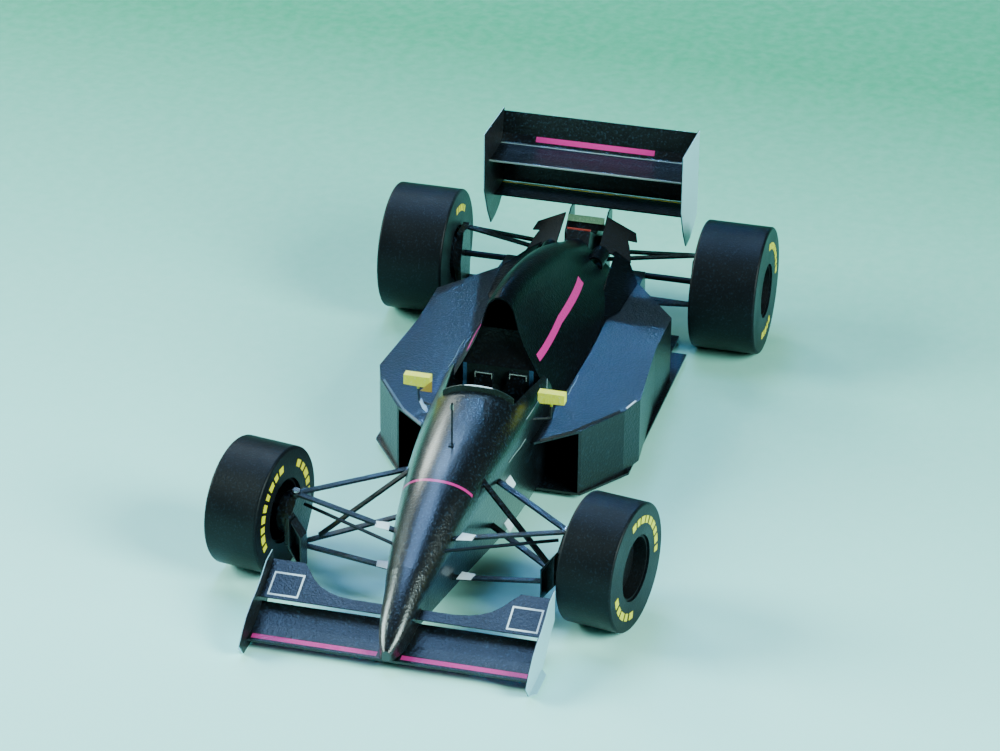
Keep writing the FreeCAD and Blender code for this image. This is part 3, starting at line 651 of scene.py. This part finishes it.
@dataclass
class Cardwork:
    """The finishes, which CAD node wears which, and how an added piece is dressed."""

    materials: dict[Finish, bpy.types.Material] = field(default_factory=dict)
    # The middle of the blank plate on the left front flap.
    front_plate: Point = (71.4, 24.2, 8.0)
    # How far each endplate's middle stands from the car's middle, and where its bare outer face begins.
    endplate_middles: dict[End, float] = field(default_factory=lambda: {End.FRONT: 28.5, End.REAR: 22.4})
    bare_paper_start: float = 0.15
    # Half the box that takes in an endplate's whole outer face.
    bare_paper: Point = (120.0, 5.0, 60.0)
    # The finish of a node by its full name, and by how its name starts.
    nodes: dict[str, Finish] = field(
        default_factory=lambda: {
            "monocoque": Finish.HULL,
            "nose_cone": Finish.HULL,
            "engine_cover": Finish.COVER,
            "headrest": Finish.HEADREST,
            "rear_wing_flap": Finish.REAR_FLAP,
            "rear_wing_plane": Finish.REAR_PLANE,
            "rear_beam_plane": Finish.BEAM,
            "front_wing_plane": Finish.FRONT_PLANE,
            "driver_seat": Finish.SEAT,
            "cockpit_screen": Finish.SCREEN,
            "rear_light": Finish.RED,
            "antenna": Finish.WIRE,
        }
    )
    starts: dict[str, Finish] = field(
        default_factory=lambda: {
            "tyre_": Finish.TYRE,
            "rim_": Finish.RIM,
            "kingpin": Finish.PIN,
            "track_rod": Finish.WIRE,
            "drive_shaft": Finish.WIRE,
            "mirror": Finish.MIRROR,
            "sidepod": Finish.POD,
            "tail_vane": Finish.RIM,
            "front_wing_flap": Finish.FRONT_FLAP,
            "front_wing_endplate_left": Finish.FRONT_ENDPLATE_LEFT,
            "front_wing_endplate_right": Finish.FRONT_ENDPLATE_RIGHT,
            "rear_wing_endplate_left": Finish.REAR_ENDPLATE_LEFT,
            "rear_wing_endplate_right": Finish.REAR_ENDPLATE_RIGHT,
        }
    )

    def plain_finishes(self) -> list[PrintedCard | DrawnWire]:
        """Lists the finishes that one colour covers.

        Returns:
            The finishes.
        """
        stalk = Mark(Ink.BLACK, (12.5, 0.0, 20.0), (20.0, 30.0, 3.05))
        rough = {"roughness": 0.6, "spread": 0.1}
        satin = {"roughness": 0.5, "spread": 0.1}
        return [
            # Black toner on card: near black, with a blue sheen where it mirrors a window, and painted blue
            # glints in its flecks.
            PrintedCard(Finish.BLACK, Ink.BLACK),
            # The same on the pods' flat tops: an even, calm mirror with few flecks.
            PrintedCard(Finish.POD, Ink.BLACK, fleck_strength=0.15, spread=0.0, specular=0.42),
            # Rolled matt card: the tyres stay dull and soft beside the glossy hull.
            PrintedCard(
                Finish.TYRE,
                Ink.TREAD,
                fleck_strength=0.1,
                grain=0.45,
                roughness=0.45,
                spread=0.1,
                relief=0.05,
                specular=0.16,
            ),
            # Unglazed black card in the wheels and at the tail: it takes the light away.
            PrintedCard(Finish.RIM, Ink.BLACK, Ink.SLATE, 0.1, grain=0.35, specular=0.2, **rough),
            # Yellow printed card of the mirrors, on black stalks: a soft glow with pale fibres.
            PrintedCard(Finish.MIRROR, Ink.MIRROR, Ink.PAPER, 0.25, grain=0.4, marks=(stalk,), **satin),
            # Red printed card of the rear light: one dull spot of red.
            PrintedCard(Finish.RED, Ink.RED, Ink.OCHRE, 0.2, grain=0.4, **satin),
            # The bare paper of folded tabs: blue-white and chalky.
            PrintedCard(Finish.WHITE, Ink.PAPER, Ink.LILAC, 0.15, grain=0.5, **rough),
            # Yellow ink of the tyres' blocks: dry and a little patchy.
            PrintedCard(Finish.YELLOW_INK, Ink.YELLOW, Ink.OCHRE, 0.2, grain=0.3, roughness=0.55, spread=0.1),
            # Cut card edges in a muted grey-green: thin pale lines on the black.
            PrintedCard(Finish.EDGE, Ink.EDGE, Ink.PAPER, 0.15, grain=0.5, **rough),
            # Olive card of the upper cross strip: a muted green behind the cover.
            PrintedCard(Finish.OLIVE, Ink.OLIVE, Ink.CREAM, 0.2, grain=0.4, **rough),
            # Ochre card of the mirror's folded corner: the mirror's yellow, darkened as painted shade.
            PrintedCard(Finish.OCHRE, Ink.OCHRE, Ink.CREAM, 0.2, grain=0.4, **rough),
            # Black card along the right pod's fold, painted blue-grey: a painted highlight along the fold.
            PrintedCard(Finish.SLATE, Ink.SLATE, Ink.SHEEN, 0.4, grain=0.4, roughness=0.45, spread=0.1),
            # Glued web at the mirror's stalk: paper with a lilac cast.
            PrintedCard(Finish.LILAC, Ink.LILAC, Ink.PAPER, 0.3, grain=0.4, **satin),
            # Plated steel pins of the front knuckles: small bright points.
            DrawnWire(Finish.PIN),
            # Blackened wire of the rods, shafts and antenna: a dark line with a thin glint.
            DrawnWire(Finish.WIRE, "#2A2E33", 0.45),
        ]

    def hull_finishes(self) -> list[PrintedCard]:
        """Lists the black finishes of the hull, the cover and the cockpit, with their printed marks.

        Returns:
            The finishes.
        """
        band = Mark(Ink.PINK, (48.15, -0.5, 22.0), (0.34, 7.5, 3.6), (0.0, 24.2, 0.0))
        bar = Mark(Ink.PINK, (0.6, -4.6, 32.6), (1.4, 0.5, 7.6), (-27.0, 0.0, 0.0))
        rim = Mark(Ink.PAPER, (17.2, 1.0, 28.3), (1.0, 4.6, 0.22))
        stripes: list[Mark] = []
        for y in (side.value for side in Side):
            stripes += [
                Mark(Ink.PINK, (-12.0, 8.6 * y, 25.8), (9.4, 4.0, 0.75)),
                Mark(Ink.PINK, (-32.6, 8.6 * y, 24.85), (11.4, 4.0, 0.75), (0.0, -4.6, 0.0)),
            ]
        # Painted highlights: blue-grey patches on the seat's bolsters, where they catch the light.
        bolster_highlights = tuple(Mark(Ink.SLATE, (2.0, 8.3 * side.value, 21.0), (5.0, 1.6, 5.0)) for side in Side)
        return [
            # Varnished card of the hull and nose: long streaks of light run down its round back.
            PrintedCard(Finish.HULL, Ink.BLACK, coat=0.7, marks=(band,)),
            # Cover and headrest: nearly no sheen, so that the pink stripes stand on plain black.
            PrintedCard(Finish.COVER, Ink.BLACK, fleck_strength=0.1, specular=0.07, marks=tuple(stripes)),
            PrintedCard(Finish.HEADREST, Ink.BLACK, fleck_strength=0.1, marks=(bar,)),
            # Card of the driver's seat, in shade: green-black, with painted blue-grey highlights on the
            # bolsters at its sides.
            PrintedCard(Finish.SEAT, Ink.SEAT, fleck_strength=0.1, marks=bolster_highlights),
            # Screen strip: dark grey-green card with a bare top edge.
            PrintedCard(Finish.SCREEN, Ink.SCREEN, marks=(rim,)),
        ]

    def wing_finishes(self) -> list[PrintedCard]:
        """Lists the black finishes of the wings, with their bars, plates and bare edges.

        Returns:
            The finishes.
        """
        bars = tuple(Mark(Ink.PINK, (82.1, y, 2.3), (0.7, 12.7, 1.6)) for y in (-15.3, 15.0))
        edges = tuple(
            Mark(Ink.EDGE, (x, 0.0, 34.8), (half, 40.0, 1.0)) for x, half in ((-74.9, 0.25), (-85.1, 0.2))
        )
        gurney = Mark(Ink.YELLOW, (-86.9, 0.0, 24.4), (0.25, 40.0, 0.4))
        stripe = Mark(Ink.PINK, (-86.4, -0.8, 36.1), (1.2, 13.7, 0.5))
        plates = [Mark(Ink.EDGE, (74.8, 0.0, 6.8), (0.4, 40.0, 0.14))]
        for side in Side:
            x, y, z = self.front_plate
            plates += [
                Mark(Ink.PAPER, (x, y * side.value, z), (2.75, 3.15, 3.0)),
                Mark(Ink.BLACK, (x, y * side.value, z), (2.35, 2.8, 3.2)),
            ]
        finishes = [
            PrintedCard(Finish.REAR_FLAP, Ink.BLACK, marks=(stripe,)),
            PrintedCard(Finish.REAR_PLANE, Ink.BLACK, marks=edges),
            PrintedCard(Finish.BEAM, Ink.BLACK, marks=(gurney,)),
            PrintedCard(Finish.FRONT_PLANE, Ink.BLACK, marks=bars),
            PrintedCard(Finish.FRONT_FLAP, Ink.BLACK, marks=tuple(plates)),
        ]
        # Endplates: black inside, and pale blue paper outside that lights the wing's ends.
        for side in Side:
            for end, middle in self.endplate_middles.items():
                y = side.value * (middle + self.bare_paper_start + self.bare_paper[1])
                white = Mark(Ink.PLATE, (0.0, y, 0.0), self.bare_paper)
                finish = Finish("_".join((end.value, "endplate", side.word)))
                finishes.append(PrintedCard(finish, Ink.BLACK, roughness=0.45, marks=(white,)))
        return finishes

    def choice(self, name: str) -> Finish:
        """Picks the finish of one CAD node.

        Args:
            name: The node's name.

        Returns:
            The finish.
        """
        for start, finish in self.starts.items():
            if name.startswith(start):
                return finish
        return self.nodes.get(name, Finish.BLACK)

    def build(self) -> None:
        """Builds the finishes and dresses every CAD node."""
        for finish in self.plain_finishes() + self.hull_finishes() + self.wing_finishes():
            self.materials[finish.finish] = finish.build()
        for name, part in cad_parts.items():
            part.data.materials.clear()
            part.data.materials.append(self.materials[self.choice(name)])

    def dress(self, piece: bpy.types.Object, finish: Finish, slot: Slot, body: str = "chassis") -> None:
        """Gives a finished piece its material and body.

        Args:
            piece: The piece.
            finish: Its finish.
            slot: The record's material slot; not used.
            body: The CAD body that it rides on.
        """
        piece.data.materials.clear()
        piece.data.materials.append(self.materials[finish])
        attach(piece, body)
        log.info("%s: %d faces on %s", piece.name, len(piece.data.polygons), body)


@dataclass(frozen=True)
class Word:
    """One arc of printed blocks: its ends in degrees up from the wheel's front, and its count of blocks."""

    start: float
    end: float
    count: int


@dataclass(frozen=True)
class Wheel:
    """One tyre: its end and side, its centre and width, and the middle radius of its print."""

    end: End
    side: Side
    centre: Point
    width: float
    radius: float


@dataclass
class TyrePrint:
    """The yellow arcs of blank printed blocks on the sidewalls of the four tyres."""

    cardwork: Cardwork
    steered: float = 9.75
    thick: float = 0.06
    height: float = 1.5
    steps: int = 3
    fills: tuple[float, ...] = (0.74, 0.6, 0.82, 0.55, 0.7)
    words: dict[str, tuple[Word, ...]] = field(
        default_factory=lambda: {
            "front_outer": (Word(75.0, 190.0, 9), Word(-10.0, -85.0, 5)),
            "front_inner": (Word(88.0, -30.0, 9), Word(190.0, 120.0, 5)),
            "rear_outer": (Word(95.0, 182.0, 8), Word(-68.0, -120.0, 5)),
            "rear_inner": (Word(130.0, 85.0, 5), Word(-30.0, -120.0, 8)),
        }
    )
    wheels: tuple[Wheel, ...] = (
        Wheel(End.FRONT, Side.LEFT, (53.45, 36.46, 13.2), 11.6, 9.9),
        Wheel(End.FRONT, Side.RIGHT, (50.57, -36.29, 13.2), 11.6, 9.9),
        Wheel(End.REAR, Side.LEFT, (-68.8, 35.5, 14.2), 14.8, 10.1),
        Wheel(End.REAR, Side.RIGHT, (-68.8, -35.5, 14.2), 14.8, 10.1),
    )

    def block(self, radius: float, spread: float) -> bpy.types.Object:
        """Models one printed block at angle zero, in the plane Y = 0.

        Args:
            radius: The arc's middle radius in millimetres.
            spread: The block's angle in degrees.

        Returns:
            The bare block.
        """
        settle()
        bpy.ops.mesh.primitive_plane_add(size=1.0)
        mark = bpy.context.active_object
        mark.scale = (self.height * MM, self.thick * MM, 1.0)
        mark.location = (radius * MM, 0, 0)
        bpy.ops.object.transform_apply(location=True, rotation=True, scale=True)
        bpy.ops.object.mode_set(mode="EDIT")
        bpy.ops.mesh.select_all(action="SELECT")
        bpy.ops.mesh.spin(steps=self.steps, angle=math.radians(spread), center=(0, 0, 0), axis=(0, 1, 0))
        bpy.ops.mesh.select_all(action="SELECT")
        bpy.ops.mesh.remove_doubles(threshold=MERGE_LIMIT)
        bpy.ops.mesh.normals_make_consistent(inside=False)
        return seated("printed_block")

    def arc(self, radius: float, word: Word) -> bpy.types.Object:
        """Joins copies of one block to an arc.

        Args:
            radius: The arc's middle radius in millimetres.
            word: Where it starts and ends, and how many blocks it has.

        Returns:
            The bare arc.
        """
        pitch = (word.end - word.start) / word.count
        blocks = []
        for place in range(word.count):
            width = abs(pitch) * self.fills[place % len(self.fills)]
            first = self.block(radius, width)
            turn = math.radians(word.start + pitch * (place + 0.5) - width / 2)
            blocks.append(copied(first, "arc_part", Matrix.Rotation(-turn, 4, "Y")))
            dropped(first)
        return joined(blocks, "arc")

    def build(self) -> None:
        """Prints the arcs on every sidewall."""
        for wheel in self.wheels:
            end = wheel.end.value
            for face in Side:
                key = end + ("_outer" if face is wheel.side else "_inner")
                pattern = joined([self.arc(wheel.radius, word) for word in self.words[key]], "print")
                turn = -self.steered if wheel.end is End.FRONT else 0.0
                away = face.value * (wheel.width + self.thick) / 2
                change = Matrix.Translation(Vector(wheel.centre) * MM)
                change = change @ Matrix.Rotation(math.radians(turn), 4, "Z")
                change = change @ Matrix.Translation((0, away * MM, 0))
                printed = copied(pattern, "_".join(("tyre_print", wheel.side.word, key)), change)
                body = "_".join((end, "wheel", wheel.side.word))
                self.cardwork.dress(printed, Finish.YELLOW_INK, Slot.YELLOW, body)
                dropped(pattern)


@dataclass
class SuspensionTabs:
    """The white folded tabs that glue the suspension arms and the flank to the hull."""

    cardwork: Cardwork
    thick: float = 0.16
    patterns: dict[str, tuple[Point, ...]] = field(
        default_factory=lambda: {
            "upper_arm": ((59.0, 7.0, 16.6), (56.2, 7.5, 16.6), (56.4, 10.2, 16.6), (58.4, 9.8, 16.6)),
            "lower_arm": ((58.7, 7.0, 7.5), (55.9, 7.4, 7.5), (56.1, 10.0, 7.5), (58.2, 9.6, 7.5)),
            "upper_flank": ((31.4, 9.85, 15.3), (28.9, 9.95, 15.3), (28.6, 10.9, 13.2), (31.2, 10.75, 13.2)),
            "lower_flank": ((30.6, 9.45, 4.9), (28.1, 9.55, 4.9), (27.9, 10.4, 2.9), (30.4, 10.3, 2.9)),
        }
    )

    def build(self) -> None:
        """Models each tab once and copies it to both sides."""
        for place, corners in self.patterns.items():
            pattern = tab("tab", corners, self.thick)
            for side in Side:
                twin = copied(pattern, "_".join((place, "tab", side.word)), side.matrix)
                self.cardwork.dress(twin, Finish.WHITE, Slot.WHITE)
            dropped(pattern)


@dataclass(frozen=True)
class Pad:
    """One harness pad: where its top and foot stand across the car, its width and its top's height."""

    top_y: float
    foot_y: float
    width: float
    top: float


@dataclass
class Cockpit:
    """The harness pads with their brackets and tags, the antenna's foot and bars, and the mirror's folds."""

    cardwork: Cardwork
    pads: tuple[Pad, ...] = (Pad(-2.85, -2.85, 3.9, 23.5), Pad(4.55, 3.2, 3.9, 24.0))
    pad_x: float = 1.95
    pad_lean: float = 0.5
    pad_foot: float = 16.5
    pad_thick: float = 0.9
    bracket_x: float = 2.45
    bracket_inset: float = 0.15
    bracket_leg: float = 1.3
    bracket_width: float = 0.13
    bracket_thick: float = 0.12
    tag_x: float = 2.9
    tag_ends: tuple[float, float] = (2.75, 3.65)
    tag_heights: tuple[float, ...] = (17.6, 16.9)
    tag_width: float = 0.4
    tag_thick: float = 0.2
    bar_x: float = 37.4
    bar_places: tuple[float, ...] = (-0.32, 0.26)
    bar_ends: tuple[float, float] = (33.3, 34.4)
    bar_width: float = 0.18
    bar_thick: float = 0.3
    foot_line: tuple[Point, Point] = ((36.9, 0, 25.4), (38.3, 0, 25.34))
    foot_width: float = 1.0
    foot_thick: float = 0.2
    web: tuple[Point, ...] = (
        (12.5, -13.5, 21.0),
        (14.8, -12.3, 20.9),
        (17.5, -10.7, 21.4),
        (17.0, -10.9, 20.5),
        (14.6, -12.4, 19.9),
        (12.4, -13.7, 20.2),
    )
    web_thick: float = 0.16
    fold: tuple[Point, ...] = ((13.17, -10.95, 25.7), (13.17, -13.5, 23.1), (13.17, -10.95, 23.1))
    fold_thick: float = 0.06
    ahead: Point = (1, 0, 0)
    above: Point = (0, 0, 1)

    def harness(self) -> None:
        """Models each black pad with a pale bracket at its top."""
        for number, pad in enumerate(self.pads, 1):
            start = (self.pad_x, pad.top_y, pad.top)
            end = (self.pad_x + self.pad_lean, pad.foot_y, self.pad_foot)
            cloth = strip(f"harness_pad_{number}", start, end, pad.width, self.pad_thick, self.ahead)
            self.cardwork.dress(cloth, Finish.BLACK, Slot.BLACK)
            reach = pad.width / 2 - self.bracket_inset
            left, right = pad.top_y - reach, pad.top_y + reach
            low, high = pad.top - self.bracket_leg, pad.top - self.bracket_inset
            corners = ((left, low), (left, high), (right, high), (right, low))
            line = [(self.bracket_x, y, z) for y, z in corners]
            name = f"harness_bracket_{number}"
            bracket = ribbon(name, line, self.bracket_width, self.bracket_thick, self.ahead)
            self.cardwork.dress(bracket, Finish.EDGE, Slot.WHITE)

    def tags(self) -> None:
        """Models the yellow tags of the harness."""
        for number, z in enumerate(self.tag_heights, 1):
            start, end = [(self.tag_x, y, z) for y in self.tag_ends]
            tag = strip(f"harness_tag_{number}", start, end, self.tag_width, self.tag_thick, self.ahead)
            self.cardwork.dress(tag, Finish.YELLOW_INK, Slot.YELLOW)

    def antenna(self) -> None:
        """Models the pale bars at the antenna's top."""
        for number, y in enumerate(self.bar_places, 1):
            start, end = [(self.bar_x, y, z) for z in self.bar_ends]
            bar = strip(f"antenna_bar_{number}", start, end, self.bar_width, self.bar_thick, self.ahead)
            self.cardwork.dress(bar, Finish.EDGE, Slot.WHITE)

    def mirror_folds(self) -> None:
        """Models the glued web and the folded corner of the right mirror."""
        self.cardwork.dress(tab("mirror_web", self.web, self.web_thick), Finish.LILAC, Slot.WHITE)
        # The folded corner's ochre is painted shade on the yellow mirror.
        self.cardwork.dress(tab("mirror_fold", self.fold, self.fold_thick), Finish.OCHRE, Slot.YELLOW)

    def antenna_foot(self) -> None:
        """Models the square foot that holds the antenna."""
        foot = strip("antenna_foot", *self.foot_line, self.foot_width, self.foot_thick, self.above)
        self.cardwork.dress(foot, Finish.BLACK, Slot.BLACK)

    def build(self) -> None:
        """Builds all of the cockpit's card pieces."""
        self.harness()
        self.tags()
        self.antenna()
        self.mirror_folds()
        self.antenna_foot()


@dataclass(frozen=True)
class Seam:
    """One bare seam: the way that its face looks and its points, with small steps as torn paper has."""

    face: Point
    line: tuple[Point, ...]


@dataclass
class SeamEdges:
    """The bare paper that shows along the glued seams and the folded front edges of the sidepods."""

    cardwork: Cardwork
    seam_width: float = 0.14
    seam_thick: float = 0.1
    fold_width: float = 0.6
    fold_thick: float = 0.2
    fold_face: Point = (0.5, 0.6, 0.6)
    fold_line: tuple[Point, ...] = ((15.2, 12.6, 16.4), (10.0, 18.0, 16.4), (-1.5, 25.6, 16.4))
    # The right fold's finish paints a blue-grey highlight; the left fold stays dark.
    fold_finishes: dict[Side, Finish] = field(
        default_factory=lambda: {Side.LEFT: Finish.RIM, Side.RIGHT: Finish.SLATE}
    )
    bare_line: tuple[Point, Point] = ((-3.2, 26.5, 16.38), (-7.0, 27.6, 16.38))
    bare_width: float = 0.32
    bare_thick: float = 0.15
    above: Point = (0, 0, 1)
    lines: dict[str, Seam] = field(
        default_factory=lambda: {
            "hull_seam": Seam(
                (0, 1, 0), ((20.0, 10.8, 19.0), (23.4, 10.6, 18.9), (26.9, 10.3, 19.1), (30.4, 10.0, 19.0))
            ),
            "cover_seam_right": Seam(
                (0, 0, 1),
                ((-10.9, -14.1, 16.34), (-15.4, -13.9, 16.34), (-20.0, -14.2, 16.34), (-23.9, -14.0, 16.34)),
            ),
            "cover_seam_left": Seam(
                (0, 0, 1),
                ((-14.9, 13.3, 16.34), (-11.9, 13.5, 16.34), (-8.9, 13.3, 16.34), (-5.9, 13.4, 16.34)),
            ),
            "cockpit_edge_rear": Seam((0, 1, 0.5), ((0.8, 10.4, 23.05), (3.2, 10.95, 21.8))),
            "cockpit_edge_front": Seam(
                (0, 1, 0.5), ((8.6, 10.62, 22.15), (13.0, 10.42, 22.05), (17.2, 10.2, 22.05))
            ),
        }
    )

    def seams(self) -> None:
        """Lays the torn pale edges."""
        for name, seam in self.lines.items():
            piece = ribbon(name, seam.line, self.seam_width, self.seam_thick, seam.face)
            self.cardwork.dress(piece, Finish.EDGE, Slot.WHITE)

    def pod_edges(self) -> None:
        """Lays the folded strip along the front edge of each pod's top, with one bare length."""
        for side in Side:
            line = [(x, y * side.value, z) for x, y, z in self.fold_line]
            x, y, z = self.fold_face
            name = "pod_fold_" + side.word
            fold = ribbon(name, line, self.fold_width, self.fold_thick, (x, y * side.value, z))
            self.cardwork.dress(fold, self.fold_finishes[side], Slot.BLACK)
        bare = strip("pod_bare_edge", *self.bare_line, self.bare_width, self.bare_thick, self.above)
        self.cardwork.dress(bare, Finish.WHITE, Slot.WHITE)

    def build(self) -> None:
        """Lays all the edges."""
        self.seams()
        self.pod_edges()


@dataclass(frozen=True)
class CrossStrip:
    """One cross strip between the wing's pylons: its place by name, finish, height and width."""

    place: str
    finish: Finish
    z: float
    width: float


@dataclass
class TailCard:
    """The sheets that close the cover's flanks at the tail, and the cross strips between the pylons."""

    cardwork: Cardwork
    crosses: tuple[CrossStrip, ...] = (
        CrossStrip("upper", Finish.OLIVE, 23.0, 1.5),
        CrossStrip("lower", Finish.BLACK, 21.4, 1.6),
    )
    cross_x: float = -75.4
    cross_reach: float = 4.2
    cross_thick: float = 0.3
    cross_face: Point = (1, 0, 0.4)
    flank: tuple[Point, ...] = (
        (-40.0, 11.9, 17.1),
        (-50.0, 10.2, 18.4),
        (-68.5, 8.6, 19.3),
        (-68.5, 11.6, 17.3),
        (-60.0, 15.4, 16.5),
        (-46.0, 14.6, 16.5),
    )
    flank_thick: float = 0.2

    def build(self) -> None:
        """Builds the tail's card pieces."""
        for cross in self.crosses:
            start, end = [(self.cross_x, y, cross.z) for y in (-self.cross_reach, self.cross_reach)]
            name = "tail_cross_strip_" + cross.place
            piece = strip(name, start, end, cross.width, self.cross_thick, self.cross_face)
            self.cardwork.dress(piece, cross.finish, Slot.BLACK)
        pattern = tab("flank", self.flank, self.flank_thick)
        for side in Side:
            sheet = copied(pattern, "cover_flank_" + side.word, side.matrix)
            self.cardwork.dress(sheet, Finish.COVER, Slot.BLACK)
        dropped(pattern)


@dataclass(frozen=True)
class Panel:
    """One soft square light that looks at the car, its place and size in metres and its power in watts."""

    name: str
    place: Point
    size: float
    power: float
    tint: str


@dataclass
class Studio:
    """The camera at the photograph's angle, a pale paper sweep and soft lights."""

    aim: Point = (-39.89, -10.30, 0.0)
    azimuth: float = 104.57
    elevation: float = 28.0
    roll: float = 0.65
    distance: float = 895.5
    lens: float = 146.7
    sensor: float = 36.0
    clip_start: float = 0.01
    clip_end: float = 20.0
    floor_size: float = 2.4
    sweep_runs: tuple[Point, ...] = ((-0.5, 0, 0.35), (-0.3, 0, 1.2))
    paper: BackingPaper = BackingPaper()
    panels: tuple[Panel, ...] = (
        Panel("tall_window", (-0.74, -0.28, 1.0), 0.3, 4.0, "#9CCBFF"),
        Panel("side_window", (-0.74, -0.68, 0.64), 0.3, 5.0, "#F0FFF6"),
        Panel("roof_window", (-0.24, -0.24, 1.2), 0.5, 7.5, "#8FC0FF"),
        Panel("right_panel", (0.15, -1.3, 0.75), 0.7, 42.0, "#DFFFF8"),
        Panel("left_panel", (0.5, 1.25, 0.85), 0.7, 46.0, "#DFFFF8"),
    )
    beam_from: Point = (-1.375, -0.28, 0.78)
    beam_to: Point = (0.024, 0.020, 0.014)
    beam_power: float = 80.0
    beam_tint: str = "#5FA6F5"
    beam_radius: float = 0.05
    beam_cone: float = 2.1
    surround: float = 0.04
    surround_tint: str = "#CFE9F2"

    def camera(self) -> None:
        """Places the camera."""
        turn = math.radians(self.azimuth - 90.0)
        lift = math.radians(self.elevation)
        away = Vector((math.cos(turn) * math.cos(lift), math.sin(turn) * math.cos(lift), math.sin(lift)))
        data = bpy.data.cameras.new("photo_view")
        data.lens = self.lens
        data.sensor_width = self.sensor
        data.clip_start = self.clip_start
        data.clip_end = self.clip_end
        seat = bpy.data.objects.new("photo_view", data)
        bpy.context.scene.collection.objects.link(seat)
        place = Matrix.Translation((Vector(self.aim) + away * self.distance) * MM)
        look = (-away).to_track_quat("-Z", "Y").to_matrix().to_4x4()
        seat.matrix_world = place @ look @ Matrix.Rotation(math.radians(self.roll), 4, "Z")
        bpy.context.scene.camera = seat

    def floor(self) -> None:
        """Lays the pale paper sweep that the car stands on, rising in two runs behind it."""
        settle()
        bpy.ops.mesh.primitive_plane_add(size=self.floor_size)
        bpy.ops.object.mode_set(mode="EDIT")
        pick_edges(lambda edge: all(v.co.x < 0 for v in edge.verts))
        for run in self.sweep_runs:
            bpy.ops.mesh.extrude_region_move(TRANSFORM_OT_translate={"value": run})
        sweep = seated("paper_sweep")
        sweep.data.materials.append(self.paper.build())

    def lamp(self, data: bpy.types.Light, place: Point, aim: Point) -> None:
        """Hangs one lamp and turns it to its aim.

        Args:
            data: The lamp's light.
            place: Where it hangs, in metres.
            aim: Where it looks, in metres.
        """
        lamp = bpy.data.objects.new(data.name, data)
        bpy.context.scene.collection.objects.link(lamp)
        lamp.location = place
        lamp.rotation_euler = (Vector(aim) - Vector(place)).to_track_quat("-Z", "Y").to_euler()

    def beam(self) -> None:
        """Adds the low blue beam that the pods' tops mirror, strongest at the front left."""
        data = bpy.data.lights.new("low_window", "SPOT")
        data.energy = self.beam_power
        data.color = linear(self.beam_tint)[:3]
        data.shadow_soft_size = self.beam_radius
        data.spot_size = math.radians(self.beam_cone)
        data.spot_blend = 1.0
        self.lamp(data, self.beam_from, self.beam_to)

    def lights(self) -> None:
        """Hangs the soft lights and the even surround."""
        for panel in self.panels:
            data = bpy.data.lights.new(panel.name, "AREA")
            data.shape = "SQUARE"
            data.size = panel.size
            data.energy = panel.power
            data.color = linear(panel.tint)[:3]
            self.lamp(data, panel.place, (0.0, 0.0, 0.0))
        world = bpy.data.worlds.new("soft_surround")
        world.use_nodes = True
        ground = world.node_tree.nodes["Background"]
        ground.inputs["Color"].default_value = linear(self.surround_tint)
        ground.inputs["Strength"].default_value = self.surround
        bpy.context.scene.world = world

    def build(self) -> None:
        """Sets the whole studio."""
        self.camera()
        self.floor()
        self.beam()
        self.lights()


def main() -> None:
    """Builds the whole scene in order."""
    logging.basicConfig(level=logging.INFO, format="%(message)s")
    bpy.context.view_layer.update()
    cardwork = Cardwork()
    cardwork.build()
    for assembly in (TyrePrint, SuspensionTabs, Cockpit, SeamEdges, TailCard):
        assembly(cardwork).build()
    Studio().build()


if __name__ == "__main__":
    main()
